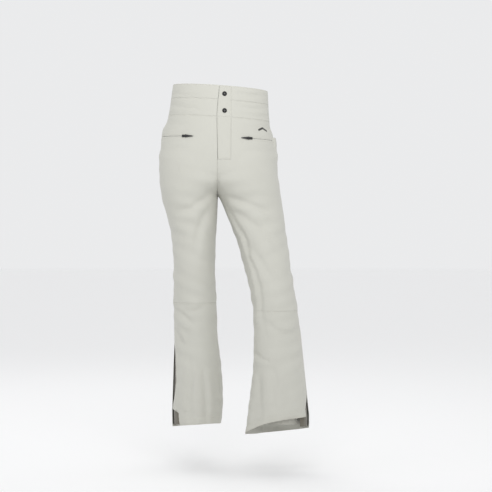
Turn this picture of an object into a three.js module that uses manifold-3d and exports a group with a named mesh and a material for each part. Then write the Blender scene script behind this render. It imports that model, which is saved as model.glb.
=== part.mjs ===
// Flared softshell ski pants in a worn stance: panels, waistband, fly, hip zips and hem vents.
// Millimetres, +Z up, the front faces -Y, the origin is the middle of the waist opening.
import * as THREE from 'three';
import { mergeVertices } from 'three/addons/utils/BufferGeometryUtils.js';
import Module from 'manifold-3d';

const wasm = await Module();
wasm.setup();

// ---------------------------------------------------------------- driving dimensions
const CLOTH = 2.4;               // softshell panel with its lining
const GAP = 0.3;                 // clearance between neighbouring pieces
const INSEAM_GAP = 0.9;
const BAND_SEAM_Z = -45;         // seam between the two bands of the waist
const YOKE_Z = -100;             // waistband sewn to the legs
const FLY_BOTTOM_Z = -237;
const CROTCH_Z = -352;
const KNEE_Z = { right: -694, left: -716 };
const HEM_Z = -1092;
const VENT_TOP_Z = -806;
const NOTCH_TOP_Z = -1032;       // below this the vent spreads open
const VENT_HALF = 5;             // half the width of the zip window
const NOTCH_HALF = 15;           // half the width of the vent at the hem
const ROLL = Math.tan(THREE.MathUtils.degToRad(4));  // the waist leans on the standing leg

const FLY_ZIP_X = 17;
const FLY_ZIP_DEPTH = 8;
const SNAP_X = 22;
const SNAP_Z = [-27, -81];
const SNAP_RADIUS = 7.5;

const POCKET_Z = -166;
const POCKET_OPEN = 0.22;        // slider angle round the hip, open, radians
const POCKET_CLOSED = 0.95;      // slider angle round the hip, closed
const POCKET_ZIP_DEPTH = 5.4;
const HEM_ZIP_DEPTH = 5.8;
const HEM_SLIDER_Z = -1018;

const TAPE = 0.7;                // zip tape thickness
const COIL = 1.8;                // height of a row of zip teeth
const COIL_EDGE = 0.8;           // from the zip's middle to its teeth
const COIL_WIDTH = 2;
const TAPE_REACH = 13;           // from the zip's middle to the tape's edge

// ---------------------------------------------------------------- materials
const material = (color, roughness, metalness = 0) =>
  new THREE.MeshStandardMaterial({ color, roughness, metalness });
const softshell = material('#d9dad0', 0.82);
const facingCloth = material('#e4e2d6', 0.85);
const zipTape = material('#cfcfc4', 0.8);
const gussetCloth = material('#5f594c', 0.9);
const blackPlastic = material('#141414', 0.45);
const darkMetal = material('#2a2a2c', 0.35, 0.8);
const brightMetal = material('#9a9a9c', 0.3, 0.9);
const elastic = material('#3c3a36', 0.9);

// ---------------------------------------------------------------- the worn form
// A smooth line through [height, value] pairs that never overshoots them.
function line(...points) {
  const rise = points.slice(1).map((p, i) => (p[1] - points[i][1]) / (p[0] - points[i][0]));
  const lean = points.map((_, i) => {
    const above = rise[Math.max(i - 1, 0)];
    const below = rise[Math.min(i, rise.length - 1)];
    return above * below <= 0 ? 0 : (2 * above * below) / (above + below);
  });
  return (z) => {
    const found = points.findIndex((p, i) => i > 0 && z >= p[0]);
    const b = found < 0 ? points.length - 1 : found;
    const a = b - 1;
    const span = points[b][0] - points[a][0];
    const t = THREE.MathUtils.clamp((z - points[a][0]) / span, 0, 1);
    const u = 1 - t;
    return (1 + 2 * t) * u * u * points[a][1] + t * u * u * span * lean[a]
      + t * t * (3 - 2 * t) * points[b][1] - t * t * u * span * lean[b];
  };
}

// Outer and inner lines of each half, measured away from the middle of the body. Above the
// crotch the inner line lies past the middle plane, and the section is cut there.
const OUTER = {
  right: line([0, 146], [-100, 161], [-160, 182], [-255, 192], [-352, 183], [-416, 166],
    [-493, 149], [-595, 144], [-698, 144], [-800, 142], [-900, 145], [-1020, 148.6],
    [-1050, 149.5], [-1120, 147]),
  left: line([0, 160], [-100, 166], [-160, 177], [-255, 189], [-352, 203], [-416, 213],
    [-493, 221], [-595, 234], [-698, 251], [-800, 265], [-900, 275], [-1020, 287],
    [-1050, 290], [-1120, 287]),
};
const INNER = {
  right: line([0, -146], [-100, -161], [-160, -170], [-237, -128], [-300, -58], [-352, 0.6],
    [-416, 3], [-493, 8], [-595, 10], [-698, 5], [-800, 2], [-902, -10], [-1015, -15], [-1120, -4]),
  left: line([0, -160], [-100, -166], [-160, -166], [-237, -128], [-300, -58], [-352, 0.6],
    [-416, 29], [-493, 61], [-595, 90], [-698, 111], [-800, 115], [-902, 112], [-1015, 98],
    [-1120, 86]),
};
const FRONT_DEPTH = line([0, 94], [-100, 104.5], [-160, 109.5], [-237, 115], [-300, 116],
  [-352, 108], [-416, 96], [-493, 88], [-595, 80], [-698, 74], [-800, 74], [-1015, 88], [-1120, 92]);
const BACK_DEPTH = line([0, 96], [-100, 108], [-160, 120], [-237, 132], [-300, 134],
  [-352, 118], [-416, 102], [-493, 92], [-595, 84], [-698, 76], [-800, 76], [-1015, 90], [-1120, 94]);
const STEP_Y = {
  right: line([0, 0], [-352, 0], [-640, -12], [-800, -6], [-1120, 8]),
  left: line([0, 0], [-352, 0], [-420, -10], [-560, -52], [-700, -88], [-1120, -106]),
};
const TURN = {
  right: line([0, 0], [-352, 0], [-600, 4], [-806, 0], [-919, -3.2], [-1032, -6], [-1120, -8]),
  left: line([0, 0], [-352, 0], [-450, 13], [-600, 24], [-700, 16], [-806, 1], [-919, -2.9],
    [-1032, -6], [-1120, -8]),
};
const LEAN = line([0, 1], [-60, 1], [-157, 0.55], [-262, 0], [-1120, 0]);
const SIGN = { right: -1, left: 1 };
const SIDES = ['right', 'left'];

// Fly: the cover's free edge, and the straight line that it folds along.
const flyEdge = line([0, 6], [YOKE_Z, -2], [FLY_BOTTOM_Z, 0.3], [-300, 0.3]);
const hingeX = (z) => 44 + (z / FLY_BOTTOM_Z) * -2;

const section = (side, z) => {
  const outer = OUTER[side](z);
  const inner = INNER[side](z);
  return { middle: (outer + inner) / 2, half: (outer - inner) / 2 };
};
const rolled = (x, y, z) => new THREE.Vector3(x, y, z - x * ROLL * LEAN(z));

// A point on one half: angle 0 at the side seam, +pi at the inseam round the front and -pi
// round the back. inset is how far inside the outer face it lies.
function skin(side, angle, z, inset = 0) {
  const { middle, half } = section(side, z);
  const depth = angle >= 0 ? FRONT_DEPTH(z) : BACK_DEPTH(z);
  const out = (half - inset) * Math.cos(angle);
  const back = -(depth - inset) * Math.sin(angle);
  const turn = THREE.MathUtils.degToRad(TURN[side](z));
  const x = middle + out * Math.cos(turn) - back * Math.sin(turn);
  const y = STEP_Y[side](z) + out * Math.sin(turn) + back * Math.cos(turn);
  return rolled(SIGN[side] * x, y, z);
}

// The angle at which one half reaches a distance x from the middle plane.
function angleAt(side, x, z, inset = 0) {
  const { middle, half } = section(side, z);
  return Math.acos(THREE.MathUtils.clamp((x - middle) / (half - inset), -1, 1));
}

// The front of the body as a height over x and z, for the layers of the fly.
function front(x, z, inset = 0) {
  const { middle, half } = section(x < 0 ? 'right' : 'left', z);
  const across = (Math.abs(x) - middle) / half;
  return rolled(x, -FRONT_DEPTH(z) * Math.sqrt(1 - across * across) + inset, z);
}

// Where a panel of one half ends at the middle of the body or at the inseam.
function innerAngle(side, z, inset) {
  if (z > CROTCH_Z) return angleAt(side, GAP, z, inset);
  return Math.PI - INSEAM_GAP / section(side, z).half;
}

// The hem rises over the instep and drops at the heel; the turned leg's hem also slants.
function hemDrop(side, angle, z) {
  if (z >= NOTCH_TOP_Z) return z;
  const slant = side === 'left' ? 12 * Math.cos(angle) - 6 : -4 * Math.cos(angle);
  const hem = HEM_Z + 12 * Math.sin(angle) + slant;
  return NOTCH_TOP_Z + ((z - NOTCH_TOP_Z) / (HEM_Z - NOTCH_TOP_Z)) * (hem - NOTCH_TOP_Z);
}

// Half the gap between the front and back panels along the side seam.
const ventHalf = line([0, GAP], [VENT_TOP_Z, GAP], [VENT_TOP_Z - 12, VENT_HALF],
  [NOTCH_TOP_Z, VENT_HALF], [HEM_Z, NOTCH_HALF]);

// The shin's edge of each vent bows open over the zip: the right one ends in a wide cut notch, and the
// left one gapes more and more down to its raised hem.
const SHIN_NOTCH = 54;
const shinVent = {
  right: line([0, GAP], [VENT_TOP_Z, GAP], [VENT_TOP_Z - 12, 8], [-840, 22], [-900, 36], [-960, 40], [-1000, 26],
    [-1037, 11], [-1043, 46], [-1050, SHIN_NOTCH], [HEM_Z, SHIN_NOTCH]),
  left: line([0, GAP], [VENT_TOP_Z, GAP], [VENT_TOP_Z - 12, 6.5], [-900, 7], [-960, 7.5], [-988, 9],
    [-1020, 22], [-1055, 36], [-1080, 40], [HEM_Z, 42]),
};
const shinVentRows = [VENT_TOP_Z, VENT_TOP_Z - 12, -840, -900, -960, -988, -1004, -1020, -1037, -1043, -1050, -1066, -1080,
  HEM_Z];

// The turned leg's shin hem rides up over the instep, higher towards its side vent.
const RAISED_FROM_Z = -960;
function raisedHem(angle, z) {
  if (z >= RAISED_FROM_Z) return z;
  const hem = -1106 + 62 * (1 - Math.exp(-1.5 * (1 + Math.cos(angle))));
  return RAISED_FROM_Z + ((z - RAISED_FROM_Z) / (HEM_Z - RAISED_FROM_Z)) * (hem - RAISED_FROM_Z);
}

// ---------------------------------------------------------------- solids
// A closed solid from points and triangles, turned to face outwards.
function closed(points, faces) {
  const corner = (f, k) => points[faces[f][k]];
  let volume = 0;
  for (let f = 0; f < faces.length; f++) {
    volume += corner(f, 0).dot(new THREE.Vector3().crossVectors(corner(f, 1), corner(f, 2)));
  }
  const index = faces.flatMap(([a, b, c]) => (volume > 0 ? [a, b, c] : [a, c, b]));
  const geometry = new THREE.BufferGeometry();
  geometry.setAttribute('position',
    new THREE.Float32BufferAttribute(points.flatMap((p) => p.toArray()), 3));
  geometry.setIndex(index);
  return geometry;
}

const quad = (a, b, c, d) => [[a, b, c], [a, c, d]];

// A sheet with thickness. place(u, v, layer) gives its outer face at layer 0 and its inner
// face at layer 1; a looped sheet closes on itself in u and is a tube.
function sheet(across, along, place, looped = false) {
  const columns = looped ? across : across + 1;
  const points = [];
  for (const layer of [0, 1]) {
    for (let j = 0; j <= along; j++) {
      for (let i = 0; i < columns; i++) points.push(place(i / across, j / along, layer));
    }
  }
  const at = (i, j, layer) => (layer * (along + 1) + j) * columns + (i % columns);
  const faces = [];
  for (let i = 0; i < across; i++) {
    for (let j = 0; j < along; j++) {
      faces.push(...quad(at(i, j, 0), at(i + 1, j, 0), at(i + 1, j + 1, 0), at(i, j + 1, 0)));
      faces.push(...quad(at(i, j, 1), at(i, j + 1, 1), at(i + 1, j + 1, 1), at(i + 1, j, 1)));
    }
    faces.push(...quad(at(i, 0, 0), at(i, 0, 1), at(i + 1, 0, 1), at(i + 1, 0, 0)));
    faces.push(...quad(at(i, along, 0), at(i + 1, along, 0), at(i + 1, along, 1), at(i, along, 1)));
  }
  for (let j = 0; !looped && j < along; j++) {
    faces.push(...quad(at(0, j, 0), at(0, j + 1, 0), at(0, j + 1, 1), at(0, j, 1)));
    faces.push(...quad(at(across, j, 0), at(across, j, 1), at(across, j + 1, 1),
      at(across, j + 1, 0)));
  }
  return closed(points, faces);
}

// A section outline carried along a track: place(t, sideways, outwards).
function swept(section2d, steps, place) {
  const flat = section2d.map(([v, h]) => new THREE.Vector2(v, h));
  const outline = THREE.ShapeUtils.isClockWise(flat) ? section2d.slice().reverse() : section2d;
  const points = [];
  for (let j = 0; j <= steps; j++) {
    for (const [v, h] of outline) points.push(place(j / steps, v, h));
  }
  const count = outline.length;
  const faces = [];
  for (let j = 0; j < steps; j++) {
    for (let i = 0; i < count; i++) {
      const next = (i + 1) % count;
      faces.push(...quad(j * count + i, j * count + next, (j + 1) * count + next,
        (j + 1) * count + i));
    }
  }
  const caps = THREE.ShapeUtils.triangulateShape(outline.map(([v, h]) => new THREE.Vector2(v, h)), []);
  for (const [a, b, c] of caps) {
    faces.push([a, c, b]);
    faces.push([steps * count + a, steps * count + b, steps * count + c]);
  }
  return closed(points, faces);
}

// Merged and facing outwards, ready to be joined, cut or shown.
function sealed(geometry) {
  const bare = geometry.clone();
  bare.deleteAttribute('normal');
  bare.deleteAttribute('uv');
  const merged = mergeVertices(bare, 1e-4);
  const position = merged.getAttribute('position');
  const points = Array.from({ length: position.count },
    (_, i) => new THREE.Vector3().fromBufferAttribute(position, i));
  const index = Array.from(merged.index.array);
  const faces = [];
  for (let i = 0; i < index.length; i += 3) {
    const [a, b, c] = index.slice(i, i + 3);
    if (a !== b && b !== c && c !== a) faces.push([a, b, c]);
  }
  return closed(points, faces);
}

const solid = (geometry) => new wasm.Manifold(new wasm.Mesh({
  numProp: 3,
  vertProperties: new Float32Array(geometry.getAttribute('position').array),
  triVerts: new Uint32Array(geometry.index.array),
}));

function shown(manifold) {
  const mesh = manifold.getMesh();
  const geometry = new THREE.BufferGeometry();
  geometry.setAttribute('position', new THREE.BufferAttribute(new Float32Array(mesh.vertProperties), 3));
  geometry.setIndex(new THREE.BufferAttribute(new Uint32Array(mesh.triVerts), 1));
  return geometry;
}

const cut = (geometry, ...tools) =>
  shown(tools.reduce((whole, tool) => whole.subtract(solid(tool)), solid(geometry)));
const joined = (...parts) => shown(parts.map(solid).reduce((whole, part) => whole.add(part)));

const box = (x, y, z, at) => sealed(new THREE.BoxGeometry(x, y, z).translate(...at));

// A turned piece about its own Z axis from [radius, height] pairs that start and end on it.
const turned = (profile, segments = 14) => sealed(new THREE.LatheGeometry(
  profile.map(([radius, height]) => new THREE.Vector2(radius, height)), segments,
).rotateX(Math.PI / 2));

// ---------------------------------------------------------------- assembly
const pants = new THREE.Group();
pants.name = 'ski_pants';

function piece(name, geometry, look, parent = pants) {
  const mesh = new THREE.Mesh(geometry, look);
  mesh.name = name;
  parent.add(mesh);
  return mesh;
}

// A group standing at a point, its X axis along the track and its Z axis outwards.
function seat(name, point, along, outwards, parent = pants) {
  const x = along.clone().normalize();
  const z = outwards.clone().addScaledVector(x, -outwards.dot(x)).normalize();
  const y = new THREE.Vector3().crossVectors(z, x);
  const group = new THREE.Group();
  group.name = name;
  group.applyMatrix4(new THREE.Matrix4().makeBasis(x, y, z).setPosition(point));
  parent.add(group);
  return group;
}

const mix = THREE.MathUtils.lerp;

// Heights from top to bottom in steps of at most `step`, with a row at each named height.
function rows(heights, step = 52) {
  const list = [heights[0]];
  for (let k = 1; k < heights.length; k++) {
    const [top, bottom] = [heights[k - 1], heights[k]];
    const count = Math.ceil((top - bottom) / step);
    for (let i = 1; i <= count; i++) list.push(mix(top, bottom, i / count));
  }
  return list;
}

// One panel of one half: facing is +1 for the front of the body and -1 for its back.
function panel(side, facing, heights, innerX = null) {
  const list = rows(heights);
  return sheet(12, list.length - 1, (u, v, layer) => {
    const z = list[Math.round(v * (list.length - 1))];
    const inset = layer * CLOTH;
    const seam = (facing > 0 ? shinVent[side](z) : ventHalf(z)) / section(side, z).half;
    const edge = innerX && z > FLY_BOTTOM_Z - 1
      ? angleAt(side, innerX(z), z, inset) : innerAngle(side, z, inset);
    const angle = facing * mix(seam, edge, u);
    const drop = facing > 0 && side === 'left' ? raisedHem(angle, z) : hemDrop(side, angle, z);
    return skin(side, angle, drop, inset);
  });
}

// ---------------------------------------------------------------- legs
// The hip zip's slot in a front panel, just wide enough for the slider's neck.
const pocketSlot = (side) => sheet(12, 1, (u, v, layer) =>
  skin(side, mix(POCKET_OPEN - 0.07, POCKET_CLOSED + 0.06, u), POCKET_Z + mix(-1.6, 1.6, v),
    mix(-4, 6, layer)));

// Room for the fly's cover in the wearer's left front.
const flyRoom = sheet(4, 4, (u, v, layer) => {
  const z = mix(-80, FLY_BOTTOM_Z - GAP, v);
  return front(mix(-8, hingeX(z) + GAP, u), z, mix(-8, 9, layer));
});

const frontHeights = (side) => [YOKE_Z - GAP, FLY_BOTTOM_Z, CROTCH_Z, KNEE_Z[side] + GAP];
const rightEdge = (z) => -(flyEdge(z) - 2 * GAP);

piece('front_right', cut(panel('right', 1, frontHeights('right'), rightEdge), pocketSlot('right')),
  softshell);
piece('front_left', cut(panel('left', 1, frontHeights('left')), pocketSlot('left'), flyRoom),
  softshell);
for (const side of SIDES) {
  const ventRows = [VENT_TOP_Z, VENT_TOP_Z - 12, NOTCH_TOP_Z, HEM_Z];
  piece(`shin_${side}`, panel(side, 1, [KNEE_Z[side] - GAP, ...shinVentRows]), softshell);
  piece(`back_${side}`, panel(side, -1, [YOKE_Z - GAP, -237, CROTCH_Z, ...ventRows]), softshell);
}

// ---------------------------------------------------------------- waistband
// A strip round the waist from one angle to another, each given as [side, distance from the
// middle plane] at the front or by 'seam' at the side seam.
function band(side, facing, top, bottom, innerX, inset = 0, thickness = CLOTH) {
  return sheet(10, 2, (u, v, layer) => {
    const z = mix(top, bottom, v);
    const depth = inset + layer * thickness;
    const edge = angleAt(side, innerX(z), z, depth);
    return skin(side, facing * mix(GAP / section(side, z).half, edge, u), z, depth);
  });
}

// The back of the waist is one strip from side seam to side seam.
const backBand = (top, bottom) => sheet(20, 2, (u, v, layer) => {
  const z = mix(top, bottom, v);
  const side = u < 0.5 ? 'right' : 'left';
  const fromSeam = 1 - Math.abs(2 * u - 1);
  return skin(side, -mix(GAP / section(side, z).half, Math.PI / 2, fromSeam), z, layer * CLOTH);
});

const bands = { upper: [0, BAND_SEAM_Z + GAP / 2], lower: [BAND_SEAM_Z - GAP / 2, YOKE_Z + GAP / 2] };
for (const [name, [top, bottom]] of Object.entries(bands)) {
  piece(`waistband_${name}_right`, band('right', 1, top, bottom, rightEdge), softshell);
  piece(`waistband_${name}_left`,
    band('left', 1, top, bottom, (z) => hingeX(z) + GAP), softshell);
  piece(`waistband_${name}_back`, backBand(top, bottom), softshell);
}

// The soft facing inside the waist, from beside the fly round the back to the fly again.
const FACING_START = { right: 42, left: 56 };
piece('waist_facing', sheet(32, 1, (u, v, layer) => {
  const z = mix(-3, YOKE_Z + 3, v);
  const inset = 3.4 + 1.2 * layer;
  const side = u < 0.5 ? 'right' : 'left';
  const start = angleAt(side, FACING_START[side], z, inset);
  return skin(side, mix(-Math.PI / 2, start, Math.abs(2 * u - 1)), z, inset);
}), facingCloth);

// ---------------------------------------------------------------- fly
const hingeTop = front(hingeX(0), 0);
const hingeFoot = front(hingeX(FLY_BOTTOM_Z), FLY_BOTTOM_Z);
const flap = new THREE.Group();
flap.name = 'fly_flap_hinge';
flap.userData = { top: hingeTop, foot: hingeFoot };
pants.add(flap);

// A layer of the fly between two edges, each a distance as a function of the height.
const layerOf = (left, right, top, bottom, inset, thickness) =>
  sheet(6, 4, (u, v, layer) => {
    const z = mix(top, bottom, v);
    return front(mix(left(z), right(z), u), z, inset + layer * thickness);
  });
const coverEdge = (z) => hingeX(z) - 2 * GAP;
const snapSeat = (z, name, parent) => {
  const point = front(SNAP_X, z);
  const across = front(SNAP_X + 5, z).sub(front(SNAP_X - 5, z));
  const up = front(SNAP_X, z + 5).sub(front(SNAP_X, z - 5));
  return seat(name, point, across, new THREE.Vector3().crossVectors(across, up), parent);
};
const onSnap = (geometry, z) => {
  const group = snapSeat(z, '', new THREE.Group());
  return sealed(geometry.clone().applyMatrix4(group.matrix));
};
const pinHole = (radius, low, high) => turned([[0, low], [radius, low], [radius, high], [0, high]], 10);

piece('waist_tab', cut(layerOf(flyEdge, coverEdge, 0, YOKE_Z + GAP / 2, 0, CLOTH),
  ...SNAP_Z.map((z) => onSnap(pinHole(2.2, -6, 4), z))), softshell, flap);
piece('fly_cover', layerOf(flyEdge, coverEdge, YOKE_Z - GAP / 2, FLY_BOTTOM_Z, 0, CLOTH),
  softshell, flap);

const UNDERLAP_DEPTH = 7;
piece('waist_underlap', cut(
  layerOf(() => -34, (z) => hingeX(z) - 3, -2, YOKE_Z + 2, UNDERLAP_DEPTH, 2.2),
  ...SNAP_Z.map((z) => onSnap(pinHole(1.9, -12, -4), z))), softshell);
piece('fly_shield', layerOf(() => -22, () => 46, YOKE_Z - 3, FLY_BOTTOM_Z - 1, 12.6, 1.8), facingCloth);

// Snap fasteners: a domed cap riveted through the tab to its socket, and a stud riveted
// through the underlap to its back plate.
const snapCap = turned([[0, -2.2], [1.8, -2.2], [1.8, 0.3], [SNAP_RADIUS, 0.3],
  [SNAP_RADIUS, 0.9], [6.2, 1.7], [3.4, 1.9], [2.6, 1.4], [0, 1.4]]);
const snapSocket = turned([[0, -2.8], [6.5, -2.8], [6.5, -5.6], [4.2, -5.6], [4.2, -3.5], [0, -3.5]]);
const snapStud = turned([[0, -3.9], [2.4, -3.9], [3, -4.5], [2.6, -6], [6, -6], [6, -6.6], [0, -6.6]]);
const snapBack = turned([[0, -6.8], [1.5, -6.8], [1.5, -9.6], [6, -9.6], [6, -10.5], [0, -10.5]]);
SNAP_Z.forEach((z, i) => {
  const onTab = snapSeat(z, '', flap);
  piece(`snap_cap_${i + 1}`, snapCap, darkMetal, onTab);
  piece(`snap_socket_${i + 1}`, snapSocket, brightMetal, onTab);
  const onUnderlap = snapSeat(z, '', pants);
  piece(`snap_stud_${i + 1}`, snapStud, brightMetal, onUnderlap);
  piece(`snap_back_${i + 1}`, snapBack, brightMetal, onUnderlap);
});

// ---------------------------------------------------------------- zips
// Half of a zip: its row of teeth along the edge of its tape. way is +1 or -1.
const stringer = (way, reach, steps, place) => swept([
  [COIL_EDGE, -COIL / 2], [COIL_EDGE + COIL_WIDTH, -COIL / 2], [COIL_EDGE + COIL_WIDTH, -TAPE / 2],
  [reach, -TAPE / 2], [reach, TAPE / 2], [COIL_EDGE + COIL_WIDTH, TAPE / 2],
  [COIL_EDGE + COIL_WIDTH, COIL / 2], [COIL_EDGE, COIL / 2],
].map(([v, h]) => [way * v, h]), steps, place);

// A slider: two plates joined by a neck that runs between the rows of teeth, and an arch on
// top that holds the pull. Heights are measured outwards from the panel's face.
const SLIDER = { length: 10, width: 8, plate: 1, neck: 0.8, archAt: 2.5 };
function slider(top, bottom) {
  const arch = new THREE.Shape().moveTo(-2, 0).lineTo(2, 0).lineTo(2, 2.4).lineTo(-2, 2.4);
  arch.holes.push(new THREE.Path().moveTo(-0.95, 0.2).lineTo(-0.95, 1.7).lineTo(0.95, 1.7)
    .lineTo(0.95, 0.2));
  const bail = new THREE.ExtrudeGeometry(arch, { depth: 2.4, bevelEnabled: false })
    .translate(0, 0, -1.2).rotateX(Math.PI / 2)
    .translate(SLIDER.archAt, 0, top + SLIDER.plate - 0.1);
  return joined(
    box(SLIDER.length, SLIDER.width, SLIDER.plate, [0, 0, top + SLIDER.plate / 2]),
    box(SLIDER.length, SLIDER.width, SLIDER.plate, [0, 0, bottom - SLIDER.plate / 2]),
    box(SLIDER.length - 2, SLIDER.neck, top - bottom + 0.4, [0, 0, (top + bottom) / 2]),
    sealed(bail),
  );
}

// A pull hangs in the slider's arch by its root bar and tapers to a rounded tip. Its own
// origin is on the bar's axis.
function pull(length, rootHalf, tipHalf, thickness = 0.9) {
  const outline = new THREE.Shape().moveTo(-0.45, -2.9).lineTo(2.9, -rootHalf)
    .lineTo(length - tipHalf, -tipHalf)
    .absarc(length - tipHalf, 0, tipHalf, -Math.PI / 2, Math.PI / 2).lineTo(2.9, rootHalf)
    .lineTo(-0.45, 2.9);
  outline.holes.push(new THREE.Path().moveTo(0.45, -1.6).lineTo(0.45, 1.6).lineTo(2.9, 1.6)
    .lineTo(2.9, -1.6));
  return sealed(new THREE.ExtrudeGeometry(outline, { depth: thickness, bevelEnabled: false, curveSegments: 6 })
    .translate(0, 0, -thickness / 2));
}
const barHeight = (top) => top + SLIDER.plate - 0.1 + 0.95;

function sliderWithPull(name, group, top, bottom, pullGeometry) {
  piece(`${name}_slider`, slider(top, bottom), blackPlastic, group);
  const hinge = new THREE.Group();
  hinge.name = `${name}_pull_hinge`;
  hinge.position.set(SLIDER.archAt, 0, barHeight(top));
  group.add(hinge);
  piece(`${name}_pull`, pullGeometry, blackPlastic, hinge);
}

// Fly zip, dead straight down behind the cover; its pull hangs down.
const flyPlace = (t, v, h) => front(FLY_ZIP_X + v, YOKE_Z - 4, FLY_ZIP_DEPTH - h)
  .lerp(front(FLY_ZIP_X + v, FLY_BOTTOM_Z + 2, FLY_ZIP_DEPTH - h), t);
piece('fly_zip_stringer_right', stringer(-1, 29, 3, flyPlace), zipTape);
piece('fly_zip_stringer_left', stringer(1, 33, 3, flyPlace), zipTape);
const flyStart = flyPlace(0.06, 0, FLY_ZIP_DEPTH);
const flyRun = flyPlace(1, 0, FLY_ZIP_DEPTH).sub(flyStart);
const flySeat = seat('fly_slider_track', flyStart, flyRun, new THREE.Vector3(0, -1, 0));
sliderWithPull('fly', flySeat, -FLY_ZIP_DEPTH + 1.3, -FLY_ZIP_DEPTH - 1.3, pull(20, 3.4, 2.2));

// Hip pocket zips, level round the hips behind a slot; the slider runs round a circle that
// fits the hip between its two ends.
function circleThrough(a, b, c) {
  const ab = b.clone().sub(a);
  const ac = c.clone().sub(a);
  const axis = new THREE.Vector3().crossVectors(ab, ac);
  const centre = new THREE.Vector3().crossVectors(axis, ab).multiplyScalar(ac.lengthSq())
    .add(new THREE.Vector3().crossVectors(ac, axis).multiplyScalar(ab.lengthSq()))
    .divideScalar(2 * axis.lengthSq()).add(a);
  return { centre, axis: axis.normalize() };
}
for (const side of SIDES) {
  const place = (t, v, h) => skin(side, mix(POCKET_OPEN - 0.08, POCKET_CLOSED + 0.07, t),
    POCKET_Z + v, POCKET_ZIP_DEPTH - h);
  piece(`pocket_zip_stringer_upper_${side}`, stringer(1, TAPE_REACH, 10, place), zipTape);
  piece(`pocket_zip_stringer_lower_${side}`, stringer(-1, TAPE_REACH, 10, place), zipTape);
  const [open, half, shut] = [POCKET_OPEN, (POCKET_OPEN + POCKET_CLOSED) / 2, POCKET_CLOSED]
    .map((angle) => skin(side, angle, POCKET_Z));
  const { centre, axis } = circleThrough(open, half, shut);
  const track = new THREE.Group();
  track.name = `pocket_slider_axis_${side}`;
  track.position.copy(centre);
  track.userData = { axis, shut, open };
  pants.add(track);
  const outwards = shut.clone().sub(centre);
  const along = new THREE.Vector3().crossVectors(axis, outwards);
  const group = seat('', outwards, along, outwards, track);
  sliderWithPull(`pocket_${side}`, group, 1.1, -POCKET_ZIP_DEPTH - 2.2, pull(30, 3.6, 1.5));
  piece(`pocket_bag_${side}`, sheet(8, 4, (u, v, layer) => {
    const z = mix(POCKET_Z + 14, -318, v);
    return skin(side, mix(0.16, 1.02 - 0.3 * v * v, u), z, 10.8 + 1.8 * layer);
  }), facingCloth);
}

const GUSSET_HALF = 62;

// Hem vents: a zip window down the side of each shin that spreads open at the hem, over an
// expanding gusset.
for (const side of SIDES) {
  const low = skin(side, 0, HEM_SLIDER_Z);
  const high = skin(side, 0, VENT_TOP_Z - 16);
  const outwards = low.clone().sub(skin(side, 0, HEM_SLIDER_Z, 10))
    .add(high.clone().sub(skin(side, 0, VENT_TOP_Z - 16, 10)));
  const track = seat(`hem_slider_track_${side}`, low, low.clone().sub(high), outwards);
  track.userData = { low, high };
  // The rows run dead straight in the slider's own frame as far as the top of the notch.
  const way = side === 'right' ? 1 : -1;
  const rowPlace = (t, v, h) => {
    const z = mix(VENT_TOP_Z - 4, HEM_Z + 4, t);
    if (z > NOTCH_TOP_Z) {
      const down = ((low.z - z) / (high.z - low.z)) * high.distanceTo(low);
      return new THREE.Vector3(down, way * v, h - HEM_ZIP_DEPTH).applyMatrix4(track.matrix);
    }
    const spread = Math.sign(v) * Math.max(0, ventHalf(z) - VENT_HALF);
    const angle = (v + spread) / section(side, z).half;
    return skin(side, angle, hemDrop(side, angle, z), HEM_ZIP_DEPTH - h);
  };
  piece(`hem_zip_stringer_front_${side}`, stringer(1, TAPE_REACH, 12, rowPlace), gussetCloth);
  piece(`hem_zip_stringer_back_${side}`, stringer(-1, TAPE_REACH, 12, rowPlace), gussetCloth);
  piece(`hem_gusset_${side}`, sheet(8, 8, (u, v, layer) => {
    const z = mix(VENT_TOP_Z + 12, HEM_Z + 6, v);
    const angle = mix(-GUSSET_HALF, GUSSET_HALF, u) / section(side, z).half;
    return skin(side, angle, hemDrop(side, angle, z), 9.8 + 1.6 * layer);
  }), gussetCloth);
  sliderWithPull(`hem_${side}`, track, -HEM_ZIP_DEPTH + 1.3, -HEM_ZIP_DEPTH - 1.3, pull(24, 3.4, 2));
}

// ---------------------------------------------------------------- snow gaiters
// An elastic-edged inner cuff that closes over the boot inside each hem.
const GAITER = { top: -900, foot: -1046, grip: -1070, inset: 24 };
const cuff = (side, top, bottom, inset, thickness) => sheet(20, 3, (u, v, layer) =>
  skin(side, mix(-Math.PI, Math.PI, u), mix(top, bottom, v), inset + layer * thickness), true);
for (const side of SIDES) {
  piece(`snow_gaiter_${side}`, cuff(side, GAITER.top, GAITER.foot, GAITER.inset, 1.6), elastic);
  piece(`gaiter_grip_${side}`,
    cuff(side, GAITER.foot - GAP, GAITER.grip, GAITER.inset - 0.4, 2.4), elastic);
}

// ---------------------------------------------------------------- motif
// A small plain chevron sewn on above the wearer's left pocket.
piece('stitched_motif', sheet(6, 1, (u, v, layer) => {
  const rise = 9 - 18 * Math.abs(u - 0.5);
  return skin('left', mix(0.43, 0.72, u), -136 + rise + mix(4, -4, v), mix(-1.1, -0.4, layer));
}), zipTape);

export default pants;
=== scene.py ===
# Flared softshell ski pants, dressed in cloth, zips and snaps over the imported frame.
# The form is worked out in millimetres; every mesh is written in metres.
import math

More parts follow.
